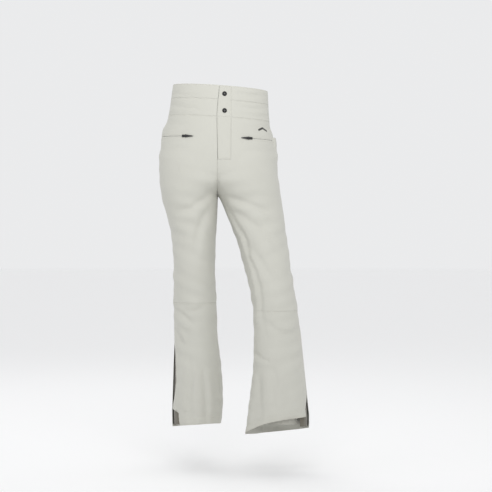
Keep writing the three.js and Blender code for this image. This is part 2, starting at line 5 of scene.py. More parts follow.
import bmesh
import bpy
import numpy as np
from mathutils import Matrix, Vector


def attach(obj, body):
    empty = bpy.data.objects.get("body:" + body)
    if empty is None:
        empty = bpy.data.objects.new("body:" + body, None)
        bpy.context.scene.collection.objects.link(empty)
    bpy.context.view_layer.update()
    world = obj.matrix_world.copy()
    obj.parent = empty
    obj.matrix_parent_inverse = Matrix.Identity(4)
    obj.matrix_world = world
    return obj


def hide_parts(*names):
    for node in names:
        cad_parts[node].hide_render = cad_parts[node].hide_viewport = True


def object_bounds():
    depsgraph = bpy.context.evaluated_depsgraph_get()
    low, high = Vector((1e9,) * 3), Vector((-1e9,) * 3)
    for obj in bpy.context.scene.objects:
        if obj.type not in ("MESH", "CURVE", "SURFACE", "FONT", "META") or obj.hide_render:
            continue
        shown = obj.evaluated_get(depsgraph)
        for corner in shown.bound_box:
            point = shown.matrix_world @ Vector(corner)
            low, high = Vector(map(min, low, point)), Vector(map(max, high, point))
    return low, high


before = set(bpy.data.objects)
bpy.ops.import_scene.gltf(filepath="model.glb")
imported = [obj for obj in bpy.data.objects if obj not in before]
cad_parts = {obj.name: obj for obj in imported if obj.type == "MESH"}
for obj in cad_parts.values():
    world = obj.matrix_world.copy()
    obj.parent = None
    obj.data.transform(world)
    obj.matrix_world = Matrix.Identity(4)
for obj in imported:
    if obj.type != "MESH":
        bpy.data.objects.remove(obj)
cad_low, cad_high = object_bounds()


# ---------------------------------------------------------------- studio
# A pale floor under pale air. Four soft lamps in front, the strongest high up and near, make
# the waist brighter than the hems, and one behind lights the back.
FLOOR_DROP = 0.115
FLOOR_RADIUS = 40
FLOOR_SIDES = 96
SENSOR_WIDTH = 36
CAMERA_DISTANCE = 4.6
CAMERA_AIM = Vector((0.090, 0.0, -0.512))
VIEW_WIDTH = 1.574
FRONT_PLANE = -0.06

floor_turn = np.linspace(0, 2 * np.pi, FLOOR_SIDES, endpoint=False)
floor_points = np.stack([FLOOR_RADIUS * np.cos(floor_turn), FLOOR_RADIUS * np.sin(floor_turn),
                         np.full(FLOOR_SIDES, cad_low.z - FLOOR_DROP)], -1)
floor_mesh = bpy.data.meshes.new("studio_floor")
floor_mesh.from_pydata(floor_points.tolist(), [], [tuple(range(FLOOR_SIDES))])
studio_floor = bpy.data.objects.new("studio_floor", floor_mesh)
bpy.context.scene.collection.objects.link(studio_floor)

paper = bpy.data.materials.new("studio_paper")
paper.use_nodes = True
paper_shader = paper.node_tree.nodes["Principled BSDF"]
paper_shader.inputs["Base Color"].default_value = (0.975, 0.975, 0.975, 1)
paper_shader.inputs["Roughness"].default_value = 0.9
floor_mesh.materials.append(paper)

world = bpy.data.worlds.new("studio_air")
bpy.context.scene.world = world
world.use_nodes = True
world.node_tree.nodes["Background"].inputs["Color"].default_value = (0.985, 0.99, 1.0, 1)
world.node_tree.nodes["Background"].inputs["Strength"].default_value = 0.84


def soft_light(name, place, aim, width, height, power, spread=180):
    """A rectangular area lamp at place, turned to face aim, its beam spread in degrees."""
    lamp = bpy.data.lights.new(name, "AREA")
    lamp.shape = "RECTANGLE"
    lamp.size, lamp.size_y = width, height
    lamp.energy = power
    lamp.spread = math.radians(spread)
    holder = bpy.data.objects.new(name, lamp)
    holder.location = place
    holder.visible_camera = False
    holder.rotation_euler = (Vector(aim) - Vector(place)).to_track_quat("-Z", "Y").to_euler()
    bpy.context.scene.collection.objects.link(holder)


soft_light("key_light", (1.7, -3.4, 1.3), (0.1, 0, -0.5), 1.5, 1.5, 9)
soft_light("front_light", (-0.3, -4.5, -0.2), (0.1, 0, -0.55), 1.6, 1.6, 8)
soft_light("top_light", (0.1, -1.7, 0.75), (0.09, 0, 0.12), 1.0, 0.8, 4.6, 100)
soft_light("fill_light", (-2.6, -2.4, 0.2), (0.1, 0, -0.6), 1.4, 2.0, 3)
soft_light("back_light", (-1.2, 2.2, 1.9), (0.1, 0, -0.5), 2.0, 2.0, 12)

camera_data = bpy.data.cameras.new("camera")
camera_data.sensor_width = SENSOR_WIDTH
camera_data.lens = SENSOR_WIDTH * (CAMERA_DISTANCE + FRONT_PLANE) / VIEW_WIDTH
camera = bpy.data.objects.new("camera", camera_data)
camera.location = CAMERA_AIM + Vector((0, -CAMERA_DISTANCE, 0))
camera.rotation_euler = (math.pi / 2, 0, 0)
bpy.context.scene.collection.objects.link(camera)
bpy.context.scene.camera = camera
bpy.context.scene.view_settings.view_transform = "Standard"


# ---------------------------------------------------------------- worn form
# The cloth hangs on a standing body: the weight is on the right leg, the left leg is
# stepped forward and turned out. Each half is a row of ovals cut at the middle plane
# above the crotch. Everything that is sewn follows this form.
def worn_line(*points):
    """A smooth line through (height, value) points that never overshoots them: cubic
    spans whose end slopes are the harmonic mean of the two neighbouring rises."""
    heights, values = np.array(points, float).T
    rise = np.diff(values) / np.diff(heights)
    above = np.concatenate([rise[:1], rise])
    below = np.concatenate([rise, rise[-1:]])
    same_way = above * below > 0
    slope = np.where(same_way, 2 * above * below / np.where(same_way, above + below, 1), 0)

    def at(z):
        z = np.asarray(z, float)
        k = np.clip(np.searchsorted(-heights, -z) - 1, 0, len(rise) - 1)
        span = heights[k + 1] - heights[k]
        t = np.clip((z - heights[k]) / span, 0, 1)
        u = 1 - t
        return ((1 + 2 * t) * u * u * values[k] + t * u * u * span * slope[k]
                + t * t * (3 - 2 * t) * values[k + 1] - t * t * u * span * slope[k + 1])

    return at


OUTER = {
    "right": worn_line((0, 146), (-100, 161), (-160, 182), (-255, 192), (-352, 183),
                       (-416, 166), (-493, 149), (-595, 144), (-698, 144), (-800, 142),
                       (-900, 145), (-1020, 148.6), (-1050, 149.5), (-1120, 147)),
    "left": worn_line((0, 160), (-100, 166), (-160, 177), (-255, 189), (-352, 203),
                      (-416, 213), (-493, 221), (-595, 234), (-698, 251), (-800, 265),
                      (-900, 275), (-1020, 287), (-1050, 290), (-1120, 287)),
}
INNER = {
    "right": worn_line((0, -146), (-100, -161), (-160, -170), (-237, -128), (-300, -58),
                       (-352, 0.6), (-416, 3), (-493, 8), (-595, 10), (-698, 5), (-800, 2),
                       (-902, -10), (-1015, -15), (-1120, -4)),
    "left": worn_line((0, -160), (-100, -166), (-160, -166), (-237, -128), (-300, -58),
                      (-352, 0.6), (-416, 29), (-493, 61), (-595, 90), (-698, 111),
                      (-800, 115), (-902, 112), (-1015, 98), (-1120, 86)),
}
FRONT_DEPTH = worn_line((0, 94), (-100, 104.5), (-160, 109.5), (-237, 115), (-300, 116),
                        (-352, 108), (-416, 96), (-493, 88), (-595, 80), (-698, 74),
                        (-800, 74), (-1015, 88), (-1120, 92))
BACK_DEPTH = worn_line((0, 96), (-100, 108), (-160, 120), (-237, 132), (-300, 134),
                       (-352, 118), (-416, 102), (-493, 92), (-595, 84), (-698, 76),
                       (-800, 76), (-1015, 90), (-1120, 94))
STEP_Y = {
    "right": worn_line((0, 0), (-352, 0), (-640, -12), (-800, -6), (-1120, 8)),
    "left": worn_line((0, 0), (-352, 0), (-420, -10), (-560, -52), (-700, -88), (-1120, -106)),
}
TURN = {
    "right": worn_line((0, 0), (-352, 0), (-600, 4), (-806, 0), (-919, -3.2), (-1032, -6),
                       (-1120, -8)),
    "left": worn_line((0, 0), (-352, 0), (-450, 13), (-600, 24), (-700, 16), (-806, 1),
                      (-919, -2.9), (-1032, -6), (-1120, -8)),
}
LEAN = worn_line((0, 1), (-60, 1), (-157, 0.55), (-262, 0), (-1120, 0))
ROLL = math.tan(math.radians(4))
SIGN = {"right": -1, "left": 1}
SIDES = ("right", "left")
GAP = 0.3
INSEAM_GAP = 0.03
CROTCH_Z = -352
HEM_Z = -1092
NOTCH_TOP_Z = -1032
RAISED_FROM_Z = -960


def middle_half(side, z):
    """Half the sum and half the difference of a half's outer and inner lines."""
    outer, inner = OUTER[side](z), INNER[side](z)
    return (outer + inner) / 2, (outer - inner) / 2


def rolled(x, y, z):
    """The point with its height tipped by the waist's four-degree lean."""
    x, y, z = np.broadcast_arrays(x, y, z)
    return np.stack([x, y, z - x * ROLL * LEAN(z)], -1)


def skin(side, angle, z, inset=0.0):
    """A point of one half's oval at a height, turned with the leg and stepped forward.
    Angle 0 is the side seam, +pi the inseam round the front, -pi round the back."""
    angle, z, inset = np.broadcast_arrays(angle, z, inset)
    middle, half = middle_half(side, z)
    depth = np.where(angle >= 0, FRONT_DEPTH(z), BACK_DEPTH(z))
    out = (half - inset) * np.cos(angle)
    back = -(depth - inset) * np.sin(angle)
    turn = np.radians(TURN[side](z))
    x = middle + out * np.cos(turn) - back * np.sin(turn)
    y = STEP_Y[side](z) + out * np.sin(turn) + back * np.cos(turn)
    return rolled(SIGN[side] * x, y, z)


def unit(vector):
    """Vectors at length one, along the last axis."""
    return vector / np.linalg.norm(vector, axis=-1, keepdims=True)


def outward(side, angle, z):
    """The form's unit normal: the cross product of its two finite-difference slopes."""
    small = 0.01
    round_it = skin(side, angle + small, z) - skin(side, angle - small, z)
    down_it = skin(side, angle, z + 1) - skin(side, angle, z - 1)
    return unit(np.cross(round_it, down_it) * -SIGN[side])


def angle_at(side, x, z, inset=0.0):
    """The angle where one half reaches a distance x from the middle plane."""
    middle, half = middle_half(side, z)
    return np.arccos(np.clip((x - middle) / (half - inset), -1, 1))


def inner_angle(side, z):
    """Where a panel ends: at the middle plane above the crotch, and below it at the inseam,
    half a turn from the side seam less a hair."""
    inseam = math.pi - INSEAM_GAP / middle_half(side, z)[1]
    return np.where(z > CROTCH_Z, angle_at(side, GAP, z), inseam)


def front(x, z, inset=0.0):
    """The front of the body as a height over x and z, for the layers of the fly."""
    x, z = np.broadcast_arrays(np.asarray(x, float), np.asarray(z, float))
    middle_r, half_r = middle_half("right", z)
    middle_l, half_l = middle_half("left", z)
    middle = np.where(x < 0, middle_r, middle_l)
    half = np.where(x < 0, half_r, half_l)
    across = (np.abs(x) - middle) / half
    return rolled(x, -FRONT_DEPTH(z) * np.sqrt(1 - across**2) + inset, z)


def hem_drop(side, angle, z):
    """Heights below the notch's top, stretched so that the hem rises over the instep,
    drops at the heel and slants on the turned leg."""
    if side == "left":
        slant = 12 * np.cos(angle) - 6
    else:
        slant = -4 * np.cos(angle)
    hem = HEM_Z + 12 * np.sin(angle) + slant
    stretched = NOTCH_TOP_Z + (z - NOTCH_TOP_Z) / (HEM_Z - NOTCH_TOP_Z) * (hem - NOTCH_TOP_Z)
    return np.where(z >= NOTCH_TOP_Z, z, stretched)


def raised_hem(angle, z):
    """The turned leg's shin hem rides up over the instep, higher towards its vent."""
    hem = -1106 + 62 * (1 - np.exp(-1.5 * (1 + np.cos(angle))))
    share = (z - RAISED_FROM_Z) / (HEM_Z - RAISED_FROM_Z)
    return np.where(z >= RAISED_FROM_Z, z, RAISED_FROM_Z + share * (hem - RAISED_FROM_Z))


# Half the width of each outer vent, down to its notch: first the shin's edge, which bows
# open over the zip, then the back's edge, which stays beside it.
VENT_TOP_Z = -806
VENT_HALF = 5
NOTCH_HALF = 15
SHIN_NOTCH = 54
shin_vent = {
    "right": worn_line((0, GAP), (VENT_TOP_Z, GAP), (VENT_TOP_Z - 12, 8), (-840, 22),
                       (-900, 36), (-960, 40), (-1000, 26), (-1037, 11), (-1043, 46),
                       (-1050, SHIN_NOTCH), (HEM_Z, SHIN_NOTCH)),
    "left": worn_line((0, GAP), (VENT_TOP_Z, GAP), (VENT_TOP_Z - 12, 6.5), (-900, 7),
                      (-960, 7.5), (-988, 9), (-1020, 22), (-1055, 36), (-1080, 40),
                      (HEM_Z, 42)),
}
vent_half = worn_line((0, GAP), (VENT_TOP_Z, GAP), (VENT_TOP_Z - 12, VENT_HALF),
                      (NOTCH_TOP_Z, VENT_HALF), (HEM_Z, NOTCH_HALF))


# ---------------------------------------------------------------- cloth relief
# How the worn cloth departs from the plain form: seams sink and pucker, the hips pull
# faint creases from the crotch, the bent leg drags a long crease down its inner front and
# the flares fall in soft upright folds. Zips, snaps and their pulls get a flat bed.
POCKET_Z = -166
CREASE_GAIN = 1.45


def step_up(low, high, value):
    """The smooth step: 0 below low, 1 above high, 3tt - 2ttt between."""
    t = np.clip((value - low) / (high - low), 0, 1)
    return t * t * (3 - 2 * t)


def bump(value, centre, width):
    """A bell round centre: e to the minus square of (value - centre) / width."""
    return np.exp(-((value - centre) / width) ** 2)


def crease(x, z, path, width, depth, ridge=0.5, side=1):
    """A valley along a broken line with a softer ridge beside it: both are bells of the
    signed distance to the nearest stretch, and both fade towards the two ends."""
    path = np.array(path, float)
    nearest = np.full(np.shape(x), 1e9)
    signed = np.zeros(np.shape(x))
    along = np.zeros(np.shape(x))
    lengths = np.linalg.norm(np.diff(path, axis=0), axis=1)
    start = 0.0
    for (ax, az), (bx, bz), length in zip(path[:-1], path[1:], lengths):
        t = np.clip(((x - ax) * (bx - ax) + (z - az) * (bz - az)) / length**2, 0, 1)
        dx, dz = x - ax - t * (bx - ax), z - az - t * (bz - az)
        distance = np.hypot(dx, dz)
        turn = np.sign(dx * (bz - az) - dz * (bx - ax)) * side
        closer = distance < nearest
        nearest = np.where(closer, distance, nearest)
        signed = np.where(closer, distance * np.where(turn == 0, 1, turn), signed)
        along = np.where(closer, (start + t * length) / lengths.sum(), along)
        start += length
    fade = np.sin(np.pi * np.clip(along, 0.04, 0.96)) ** 0.6
    fade = fade * step_up(0, 0.1, along) * step_up(0, 0.1, 1 - along) + 0.15
    depth = depth * CREASE_GAIN
    valley = -depth * bump(signed, 0, width)
    swell = depth * ridge * bump(signed, 2.1 * width, 1.7 * width)
    return (valley + swell) * fade


FRONT_CREASES = [
    ([(8, -326), (22, -368), (40, -410), (70, -455), (88, -495), (98, -550), (120, -592),
      (132, -650), (138, -717), (149, -784)], 8, 3.4, 0.7, 1),
    ([(20, -352), (58, -366), (112, -384), (176, -408)], 10, 3.3, 0.8, 1),
    ([(30, -385), (80, -420), (140, -462), (196, -520)], 12, 2.7, 0.8, 1),
    ([(96, -505), (128, -548), (160, -596), (186, -634)], 12, 2.7, 0.8, 1),
    ([(104, -838), (118, -850), (140, -866), (168, -872)], 6, 2.6, 0.7, 1),
    ([(150, -745), (178, -772), (214, -786), (246, -790)], 9, 1.6, 0.8, -1),
    ([(118, -1104), (150, -1088), (173, -1076), (206, -1061), (256, -1044)], 6, 3.0, 0.9, 1),
    ([(-12, -330), (-40, -362), (-86, -392), (-150, -408)], 11, 2.7, 0.8, -1),
    ([(-16, -368), (-46, -420), (-66, -480), (-78, -560)], 12, 2.4, 0.8, -1),
    ([(-150, -708), (-122, -724), (-98, -744), (-72, -768)], 8, 2.6, 0.8, 1),
    ([(-148, -766), (-136, -784), (-122, -806), (-112, -830)], 6, 2.2, 0.8, -1),
    ([(-40, -700), (-62, -716), (-84, -722), (-112, -716)], 9, 1.6, 0.7, 1),
    ([(-92, -860), (-84, -930), (-92, -1000), (-86, -1090)], 10, 2.4, 0.8, 1),
    ([(-46, -900), (-40, -970), (-34, -1030), (-36, -1092)], 9, 2.2, 0.8, -1),
    ([(170, -880), (186, -950), (190, -1010), (196, -1060)], 11, 2.2, 0.8, 1),
    ([(128, -900), (132, -960), (138, -1020), (134, -1080)], 9, 1.9, 0.7, -1),
    ([(-2, -300), (0, -322), (3, -344)], 7, 1.8, 0.3, 1),
]
BACK_CREASES = [
    ([(-20, -356), (-64, -372), (-118, -392), (-160, -384)], 11, 3.0, 0.8, 1),
    ([(20, -356), (70, -376), (130, -398), (184, -392)], 11, 3.0, 0.8, -1),
    ([(-30, -398), (-78, -430), (-128, -446)], 12, 2.0, 0.8, 1),
    ([(34, -398), (92, -436), (160, -458)], 12, 2.0, 0.8, -1),
    ([(-24, -670), (-66, -690), (-112, -688)], 9, 3.0, 0.8, 1),
    ([(-30, -706), (-74, -722), (-120, -712)], 9, 2.6, 0.8, 1),
    ([(-36, -640), (-80, -648), (-118, -634)], 9, 2.2, 0.8, 1),
    ([(132, -670), (170, -694), (222, -690)], 9, 3.0, 0.8, -1),
    ([(128, -710), (172, -730), (226, -722)], 9, 2.6, 0.8, -1),
    ([(124, -634), (164, -646), (210, -636)], 9, 2.2, 0.8, -1),
    ([(-60, -860), (-66, -950), (-58, -1088)], 12, 3.0, 0.8, 1),
    ([(-112, -880), (-104, -970), (-110, -1090)], 11, 2.6, 0.8, 1),
    ([(150, -870), (160, -960), (158, -1070)], 12, 3.0, 0.8, 1),
    ([(214, -880), (222, -970), (236, -1060)], 11, 2.6, 0.8, -1),
    ([(-78, -180), (-66, -240), (-40, -300)], 16, 1.6, 0.8, 1),
    ([(78, -180), (66, -240), (40, -300)], 16, 1.6, 0.8, -1),
]
soft_draw = np.random.default_rng(17)
SWELLS = [(round(2 * soft_draw.uniform(0.5, 2.6)), soft_draw.uniform(6, 26), soft_draw.uniform(0, 6.28),
           soft_draw.uniform(0.25, 0.6)) for _ in range(9)]


FLARE_FROM, FLARE_FULL = 830, 1080
VENT_BED = (780, 800)
BAG_EDGE_ABOVE, BAG_EDGE_BELOW = (-12, -8), (10, 140)


def folds(side, angle, z):
    """Height of the cloth above the form, in millimetres outwards: creases in the front
    and back views, upright waves on the flares, slow swells all over, less on zip beds."""
    place = skin(side, angle, z)
    x, height = place[..., 0], place[..., 2]
    radius = middle_half(side, z)[1]
    ahead, behind = step_up(0.02, 0.35, np.sin(angle)), step_up(0.02, 0.35, -np.sin(angle))
    rise = np.zeros(np.shape(x))
    for path, width, depth, ridge, turn in FRONT_CREASES:
        if (path[-1][0] > 0) == (side == "left") or abs(path[0][0]) < 15:
            rise += ahead * crease(x, height, path, width, depth, ridge, turn)
    for path, width, depth, ridge, turn in BACK_CREASES:
        if (path[-1][0] > 0) == (side == "left"):
            rise += behind * crease(x, height, path, width, depth, ridge, turn)
    flare = step_up(FLARE_FROM, FLARE_FULL, -z)
    waves = np.cos(7 * angle + 1.3 * np.sin(2 * angle) + (0.6 if side == "left" else 2.1))
    rise += 2.2 * flare * waves + 0.9 * flare * np.cos(12 * angle + 0.8)
    for along_wave, down_wave, phase, size in SWELLS:
        rise += size * np.sin(along_wave * angle + down_wave * z / 160 + phase)
    if side == "left":
        under = POCKET_Z - z
        edge_of_bag = step_up(*BAG_EDGE_ABOVE, under) * (1 - step_up(*BAG_EDGE_BELOW, under))
        rise += 10.0 * edge_of_bag * bump(angle, -0.04, 0.24)
    centre_bed = step_up(55, 95, np.abs(x) + np.maximum(0, -z - 255) * 2.2)
    front_bed = np.where(angle > 0, np.where(z > -330, centre_bed, 1), 1)
    by_zip = step_up(0.10, 0.20, angle) * (1 - step_up(1.2, 1.45, angle))
    pocket_bed = 1 - by_zip * (1 - step_up(12, 40, np.abs(z - POCKET_Z)))
    vent_bed = 1 - step_up(*VENT_BED, -z) * (1 - step_up(24, 46, np.abs(angle) * radius))
    band_bed = 1 - 0.8 * step_up(-150, -100, z)
    inseam_bed = step_up(0, 26, (np.pi - np.abs(angle)) * radius + np.maximum(0, z - CROTCH_Z))
    return rise * front_bed * pocket_bed * vent_bed * band_bed * (0.4 + 0.6 * inseam_bed)


def puckers(distance, travel, size=0.32, pitch=7.5):
    """Ripples across a seam: a wave along it that dies away from it."""
    beat = np.sin(travel * 2 * np.pi / pitch + 2.2 * np.sin(travel / 23.0))
    return size * beat * np.exp(-distance / 8.0)


# ---------------------------------------------------------------- softshell
# Three-layer softshell: a smooth, slightly stretchy off-white weave with a faint twill,
# a soft sheen, and a darker, browner colour mixed in over the last centimetres of the hems.
def nodes_of(name):
    """A new material with its node tree, its shader and two short ways to add to it."""
    material = bpy.data.materials.new(name)
    material.use_nodes = True
    tree = material.node_tree
    shader = tree.nodes["Principled BSDF"]

    def add(kind, **settings):
        node = tree.nodes.new("ShaderNode" + kind)
        for key, value in settings.items():
            if key in node.inputs:
                node.inputs[key].default_value = value
            else:
                setattr(node, key, value)
        return node

    def join(source, output, target, entry):
        tree.links.new(source.outputs[output], target.inputs[entry])

    return material, shader, add, join


def two_tone(add, dark, light, spread=0.2):
    """A ramp from the dark colour to the light one, across its middle."""
    ramp = add("ValToRGB")
    for point, place, colour in zip(ramp.color_ramp.elements, (0.5 - spread, 0.5 + spread),
                                    (dark, light)):
        point.position = place
        point.color = (*colour, 1)
    return ramp


def uneven_gloss(add, join, texture, shader, smoothest, roughest):
    """Roughness that follows a texture between two values."""
    rough = add("MapRange")
    rough.inputs["To Min"].default_value = smoothest
    rough.inputs["To Max"].default_value = roughest
    join(texture, "Fac", rough, "Value")
    join(rough, "Result", shader, "Roughness")


def woven(name, light, dark, roughness, sheen, weave=620.0, depth=0.00008, hem_darkening=None,
          rib=None):
    """A woven or knitted cloth: two crossed waves of the UV map raise the yarns, noise
    mottles the yarn colour and slow noise shades it, and where a per-point map says, the colour is
    mixed towards a given darker one."""
    material, shader, add, join = nodes_of(name)
    shader.inputs["Roughness"].default_value = roughness
    shader.inputs["Sheen Weight"].default_value = sheen
    shader.inputs["Sheen Roughness"].default_value = 0.45
    shader.inputs["Sheen Tint"].default_value = (1, 1, 1, 1)
    shader.inputs["Specular IOR Level"].default_value = 0.3
    spot = add("TexCoord")
    turned = add("Mapping")
    turned.inputs["Rotation"].default_value = (0, 0, math.radians(rib if rib is not None else 27))
    join(spot, "UV", turned, "Vector")
    warp = add("TexWave", Scale=weave / 2, Distortion=0.35, Detail=1.0)
    warp.bands_direction = "X"
    weft = add("TexWave", Scale=weave / 2, Distortion=0.35, Detail=1.0)
    weft.bands_direction = "Y"
    yarn = add("TexNoise", Scale=420.0, Detail=3.0, Roughness=0.7)
    shade = add("TexNoise", Scale=7.0, Detail=3.0, Roughness=0.55)
    for texture, entry in ((warp, turned), (weft, turned), (yarn, spot), (shade, spot)):
        join(entry, "Vector" if entry is turned else "UV", texture, "Vector")
    cross = add("Math", operation="MULTIPLY" if rib is None else "ADD")
    join(warp, "Fac", cross, 0)
    if rib is None:
        join(weft, "Fac", cross, 1)
    mottled = add("MapRange")
    mottled.inputs["To Min"].default_value = 0.25
    mottled.inputs["To Max"].default_value = 0.75
    join(yarn, "Fac", mottled, "Value")
    blend = add("Mix", data_type="FLOAT")
    blend.inputs["Factor"].default_value = 0.5
    join(mottled, "Result", blend, 2)
    join(shade, "Fac", blend, 3)
    tint = two_tone(add, dark, light)
    join(blend, 0, tint, "Fac")
    final, socket = tint, "Color"
    # Where the per-point map is high, the colour is mixed towards the given darker, browner one, broken
    # by noise.
    if hem_darkening is not None:
        darkening_map = add("Attribute", attribute_name="hem_darkening")
        darkening_noise = add("TexNoise", Scale=60.0, Detail=4.0, Roughness=0.65)
        join(spot, "UV", darkening_noise, "Vector")
        much = add("Math", operation="MULTIPLY")
        join(darkening_map, "Fac", much, 0)
        join(darkening_noise, "Fac", much, 1)
        darkened = add("Mix", data_type="RGBA")
        join(much, 0, darkened, "Factor")
        join(tint, "Color", darkened, 6)
        darkened.inputs[7].default_value = (*hem_darkening, 1)
        final, socket = darkened, 2
    join(final, socket, shader, "Base Color")
    uneven_gloss(add, join, yarn, shader, roughness - 0.06, roughness + 0.08)
    raised = add("Bump", Strength=0.5, Distance=depth)
    fuzz = add("Bump", Strength=0.35, Distance=depth * 0.8)
    join(cross, 0, raised, "Height")
    join(yarn, "Fac", fuzz, "Height")
    join(raised, "Normal", fuzz, "Normal")
    join(fuzz, "Normal", shader, "Normal")
    return material


# Off-white cloth whose colour turns darker and browner over the last centimetres of each hem.
softshell = woven("softshell", (0.543, 0.540, 0.490), (0.510, 0.507, 0.458), 0.72, 0.18,
                  hem_darkening=(0.40, 0.37, 0.29))


def spaced(length, step, edge=(0.5, 1.5, 3.2)):
    """Shares of a length from 0 to 1: close together at both ends, even between."""
    inner = np.linspace(edge[-1], length - edge[-1],
                        max(2, int(round((length - 2 * edge[-1]) / step)) + 1))
    ends = np.array((0,) + edge[:-1])
    return np.concatenate([ends, inner, length - ends[::-1]]) / length


def stops(*heights, step=3.4):
    """Heights from top to bottom with a row close inside each end."""
    rows = [spaced(heights[0] - heights[-1], step) * (heights[-1] - heights[0]) + heights[0]]
    rows += [np.array(heights[1:-1])]
    return np.unique(np.concatenate(rows))[::-1]


def reach(points):
    """Arc lengths over a grid from its first column and its first row, in millimetres."""
    across = np.linalg.norm(np.diff(points, axis=1), axis=2).cumsum(1)
    along = np.linalg.norm(np.diff(points, axis=0), axis=2).cumsum(0)
    return np.pad(across, ((0, 0), (1, 0))), np.pad(along, ((1, 0), (0, 0)))


def edge_roll(points, amounts, width=1.7):
    """How far each cut edge turns inwards: a quarter round of the distance to it. amounts
    gives the depth in millimetres for the edges u, d, l and r."""
    across, along = reach(points)
    roll = np.zeros(across.shape)
    for edge, far in (("l", across), ("r", across[:, -1:] - across), ("u", along),
                      ("d", along[-1:] - along)):
        t = np.clip(1 - far / width, 0, 1)
        roll = np.minimum(roll, -amounts.get(edge, 0.0) * (1 - np.sqrt(1 - t * t * 0.999)))
    return roll


def quads_over(shape, looped=False):
    """The numbers of the points of one or more grids, and the corners of the quads over
    them, closed round where looped."""
    index = np.arange(np.prod(shape)).reshape(shape)
    if looped:
        index = np.concatenate([index, index[..., :1]], -1)
    return index, np.stack([index[..., :-1, :-1], index[..., :-1, 1:], index[..., 1:, 1:],
                            index[..., 1:, :-1]], -1)


def mesh_of(name, points, faces):
    """A smooth mesh in metres over points in millimetres."""
    mesh = bpy.data.meshes.new(name)
    mesh.from_pydata((points.reshape(-1, 3) / 1000).tolist(), [], faces)
    mesh.shade_smooth()
    return mesh


def lay_uv(mesh, u, v):
    """A UV map in metres from two values in millimetres at each point."""
    layer = mesh.uv_layers.new(name="UVMap")
    loops = np.empty(len(mesh.loops), int)
    mesh.loops.foreach_get("vertex_index", loops)
    layer.data.foreach_set("uv", (np.stack([u[loops], v[loops]], -1) / 1000).ravel())


def grid_mesh(name, points, away, keep=None, looped=False, hem_darkening=None):
    """Quads over a grid of points in millimetres, facing the way of `away`, with a UV map
    in metres along the cloth."""
    columns = points.shape[1]
    corner = quads_over(points.shape[:2], looped)[1]
    flat = points.reshape(-1, 3)
    a, b, d = flat[corner[..., 0]], flat[corner[..., 1]], flat[corner[..., 3]]
    facing = np.cross(b - a, d - a)
    toward = away.reshape(-1, 3)[corner[..., 0]]
    if (facing * toward).sum() < 0:
        corner = corner[..., ::-1]
    if keep is not None:
        corner = corner[keep]
    corner = corner.reshape(-1, 4)
    mesh = mesh_of(name, points, corner.tolist())
    across, along = reach(points if not looped else np.concatenate([points, points[:, :1]], 1))
    lay_uv(mesh, across[:, :columns].ravel(), along[:, :columns].ravel())
    # A per-point amount by which the cloth's colour is darkened and browned.
    if hem_darkening is not None:
        mark = mesh.attributes.new("hem_darkening", "FLOAT", "POINT")
        mark.data.foreach_set("value", hem_darkening.ravel().astype(np.float32))
    loose = np.ones(len(mesh.vertices), bool)
    loose[corner.ravel()] = False
    if loose.any():
        work = bmesh.new()
        work.from_mesh(mesh)
        work.verts.ensure_lookup_table()
        bmesh.ops.delete(work, geom=[work.verts[i] for i in np.flatnonzero(loose)], context="VERTS")
        work.to_mesh(mesh)
        work.free()
    return mesh


LAID = {}


def laid_piece(name, mesh, material, body, thickness=0.0):
    """An object at the origin carrying its finish and its body, thickened inwards."""
    mesh.materials.append(material)
    piece = bpy.data.objects.new(name, mesh)
    bpy.context.scene.collection.objects.link(piece)
    if thickness:
        wall = piece.modifiers.new("wall", "SOLIDIFY")
        wall.thickness = thickness / 1000
        wall.offset = -1
    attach(piece, body)
    return piece


def as_cloth(points, node, keep=None):
    across, along = reach(points)
    a, b = points[:-1, 1:] - points[:-1, :-1], points[1:, :-1] - points[:-1, :-1]
    area = np.linalg.norm(np.cross(a, b), axis=-1)
    area = area[keep].sum() if keep is not None else area.sum()
    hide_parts(node)


# ---------------------------------------------------------------- leg panels
# Front, shin and back of each leg are cut from one softshell and seamed down the sides,
# across the knees and along the inseam. The edges of each panel turn in at its seams.
YOKE_Z = -100
FLY_BOTTOM_Z = -237
KNEE_Z = {"right": -694, "left": -716}
POCKET_OPEN = 0.22
POCKET_CLOSED = 0.95
SLOT_HALF = 0.45
SHELL = 1.7
PANEL_STEP = 3.6
FRONT_ARC, PLACKET_ARC, SHIN_ARC = 280, 44, 300


# The free edge of the fly, a smooth line a little to either side of the middle.
fly_edge = worn_line((0, 6), (-100, -2), (-237, 0.3), (-300, 0.3))


def hinge_x(z):
    """The straight line that the fly's cover folds along."""
    return 44 + z / FLY_BOTTOM_Z * -2


def right_edge(z):
    """How far the right half reaches from the middle plane, past it where negative."""
    return -(fly_edge(z) - 2 * GAP)


SEAM_ROLL = {"u": 0.55, "d": 0.55, "l": 0.5, "r": 0.45}


def relief(side, angle, z, points, hem=False):
    """Height over the form: folds, edges rolled in, puckers along seams, a hem's double
    cloth, all in millimetres."""
    across, along = reach(points)
    rise = folds(side, angle, z)
    rise = rise + edge_roll(points, SEAM_ROLL)
    for far, travel in ((across, along), (across[:, -1:] - across, along), (along, across)):
        quiet = step_up(10, 24, np.abs(z - POCKET_Z)) * (1 - step_up(*VENT_BED, -z))
        rise = rise + (puckers(far, travel) - 0.4 * bump(far, 5.5, 2.2)) * quiet
    if hem:
        to_hem = along[-1:] - along
        rise = rise + 0.7 * (1 - step_up(21, 23, to_hem)) - 0.55 * bump(to_hem, 22.5, 1.3)
        rise = rise + puckers(np.abs(to_hem - 22), across, 0.25)
    return rise


def hem_darkening_amount(z, to_hem):
    """How much the cloth's colour is darkened, from 0 to 1: strongest in the last centimetres over the
    hem, a trace above.
    """
    return 0.34 * np.exp(-to_hem / 9.0) + 0.06 * step_up(900, 1090, -z)


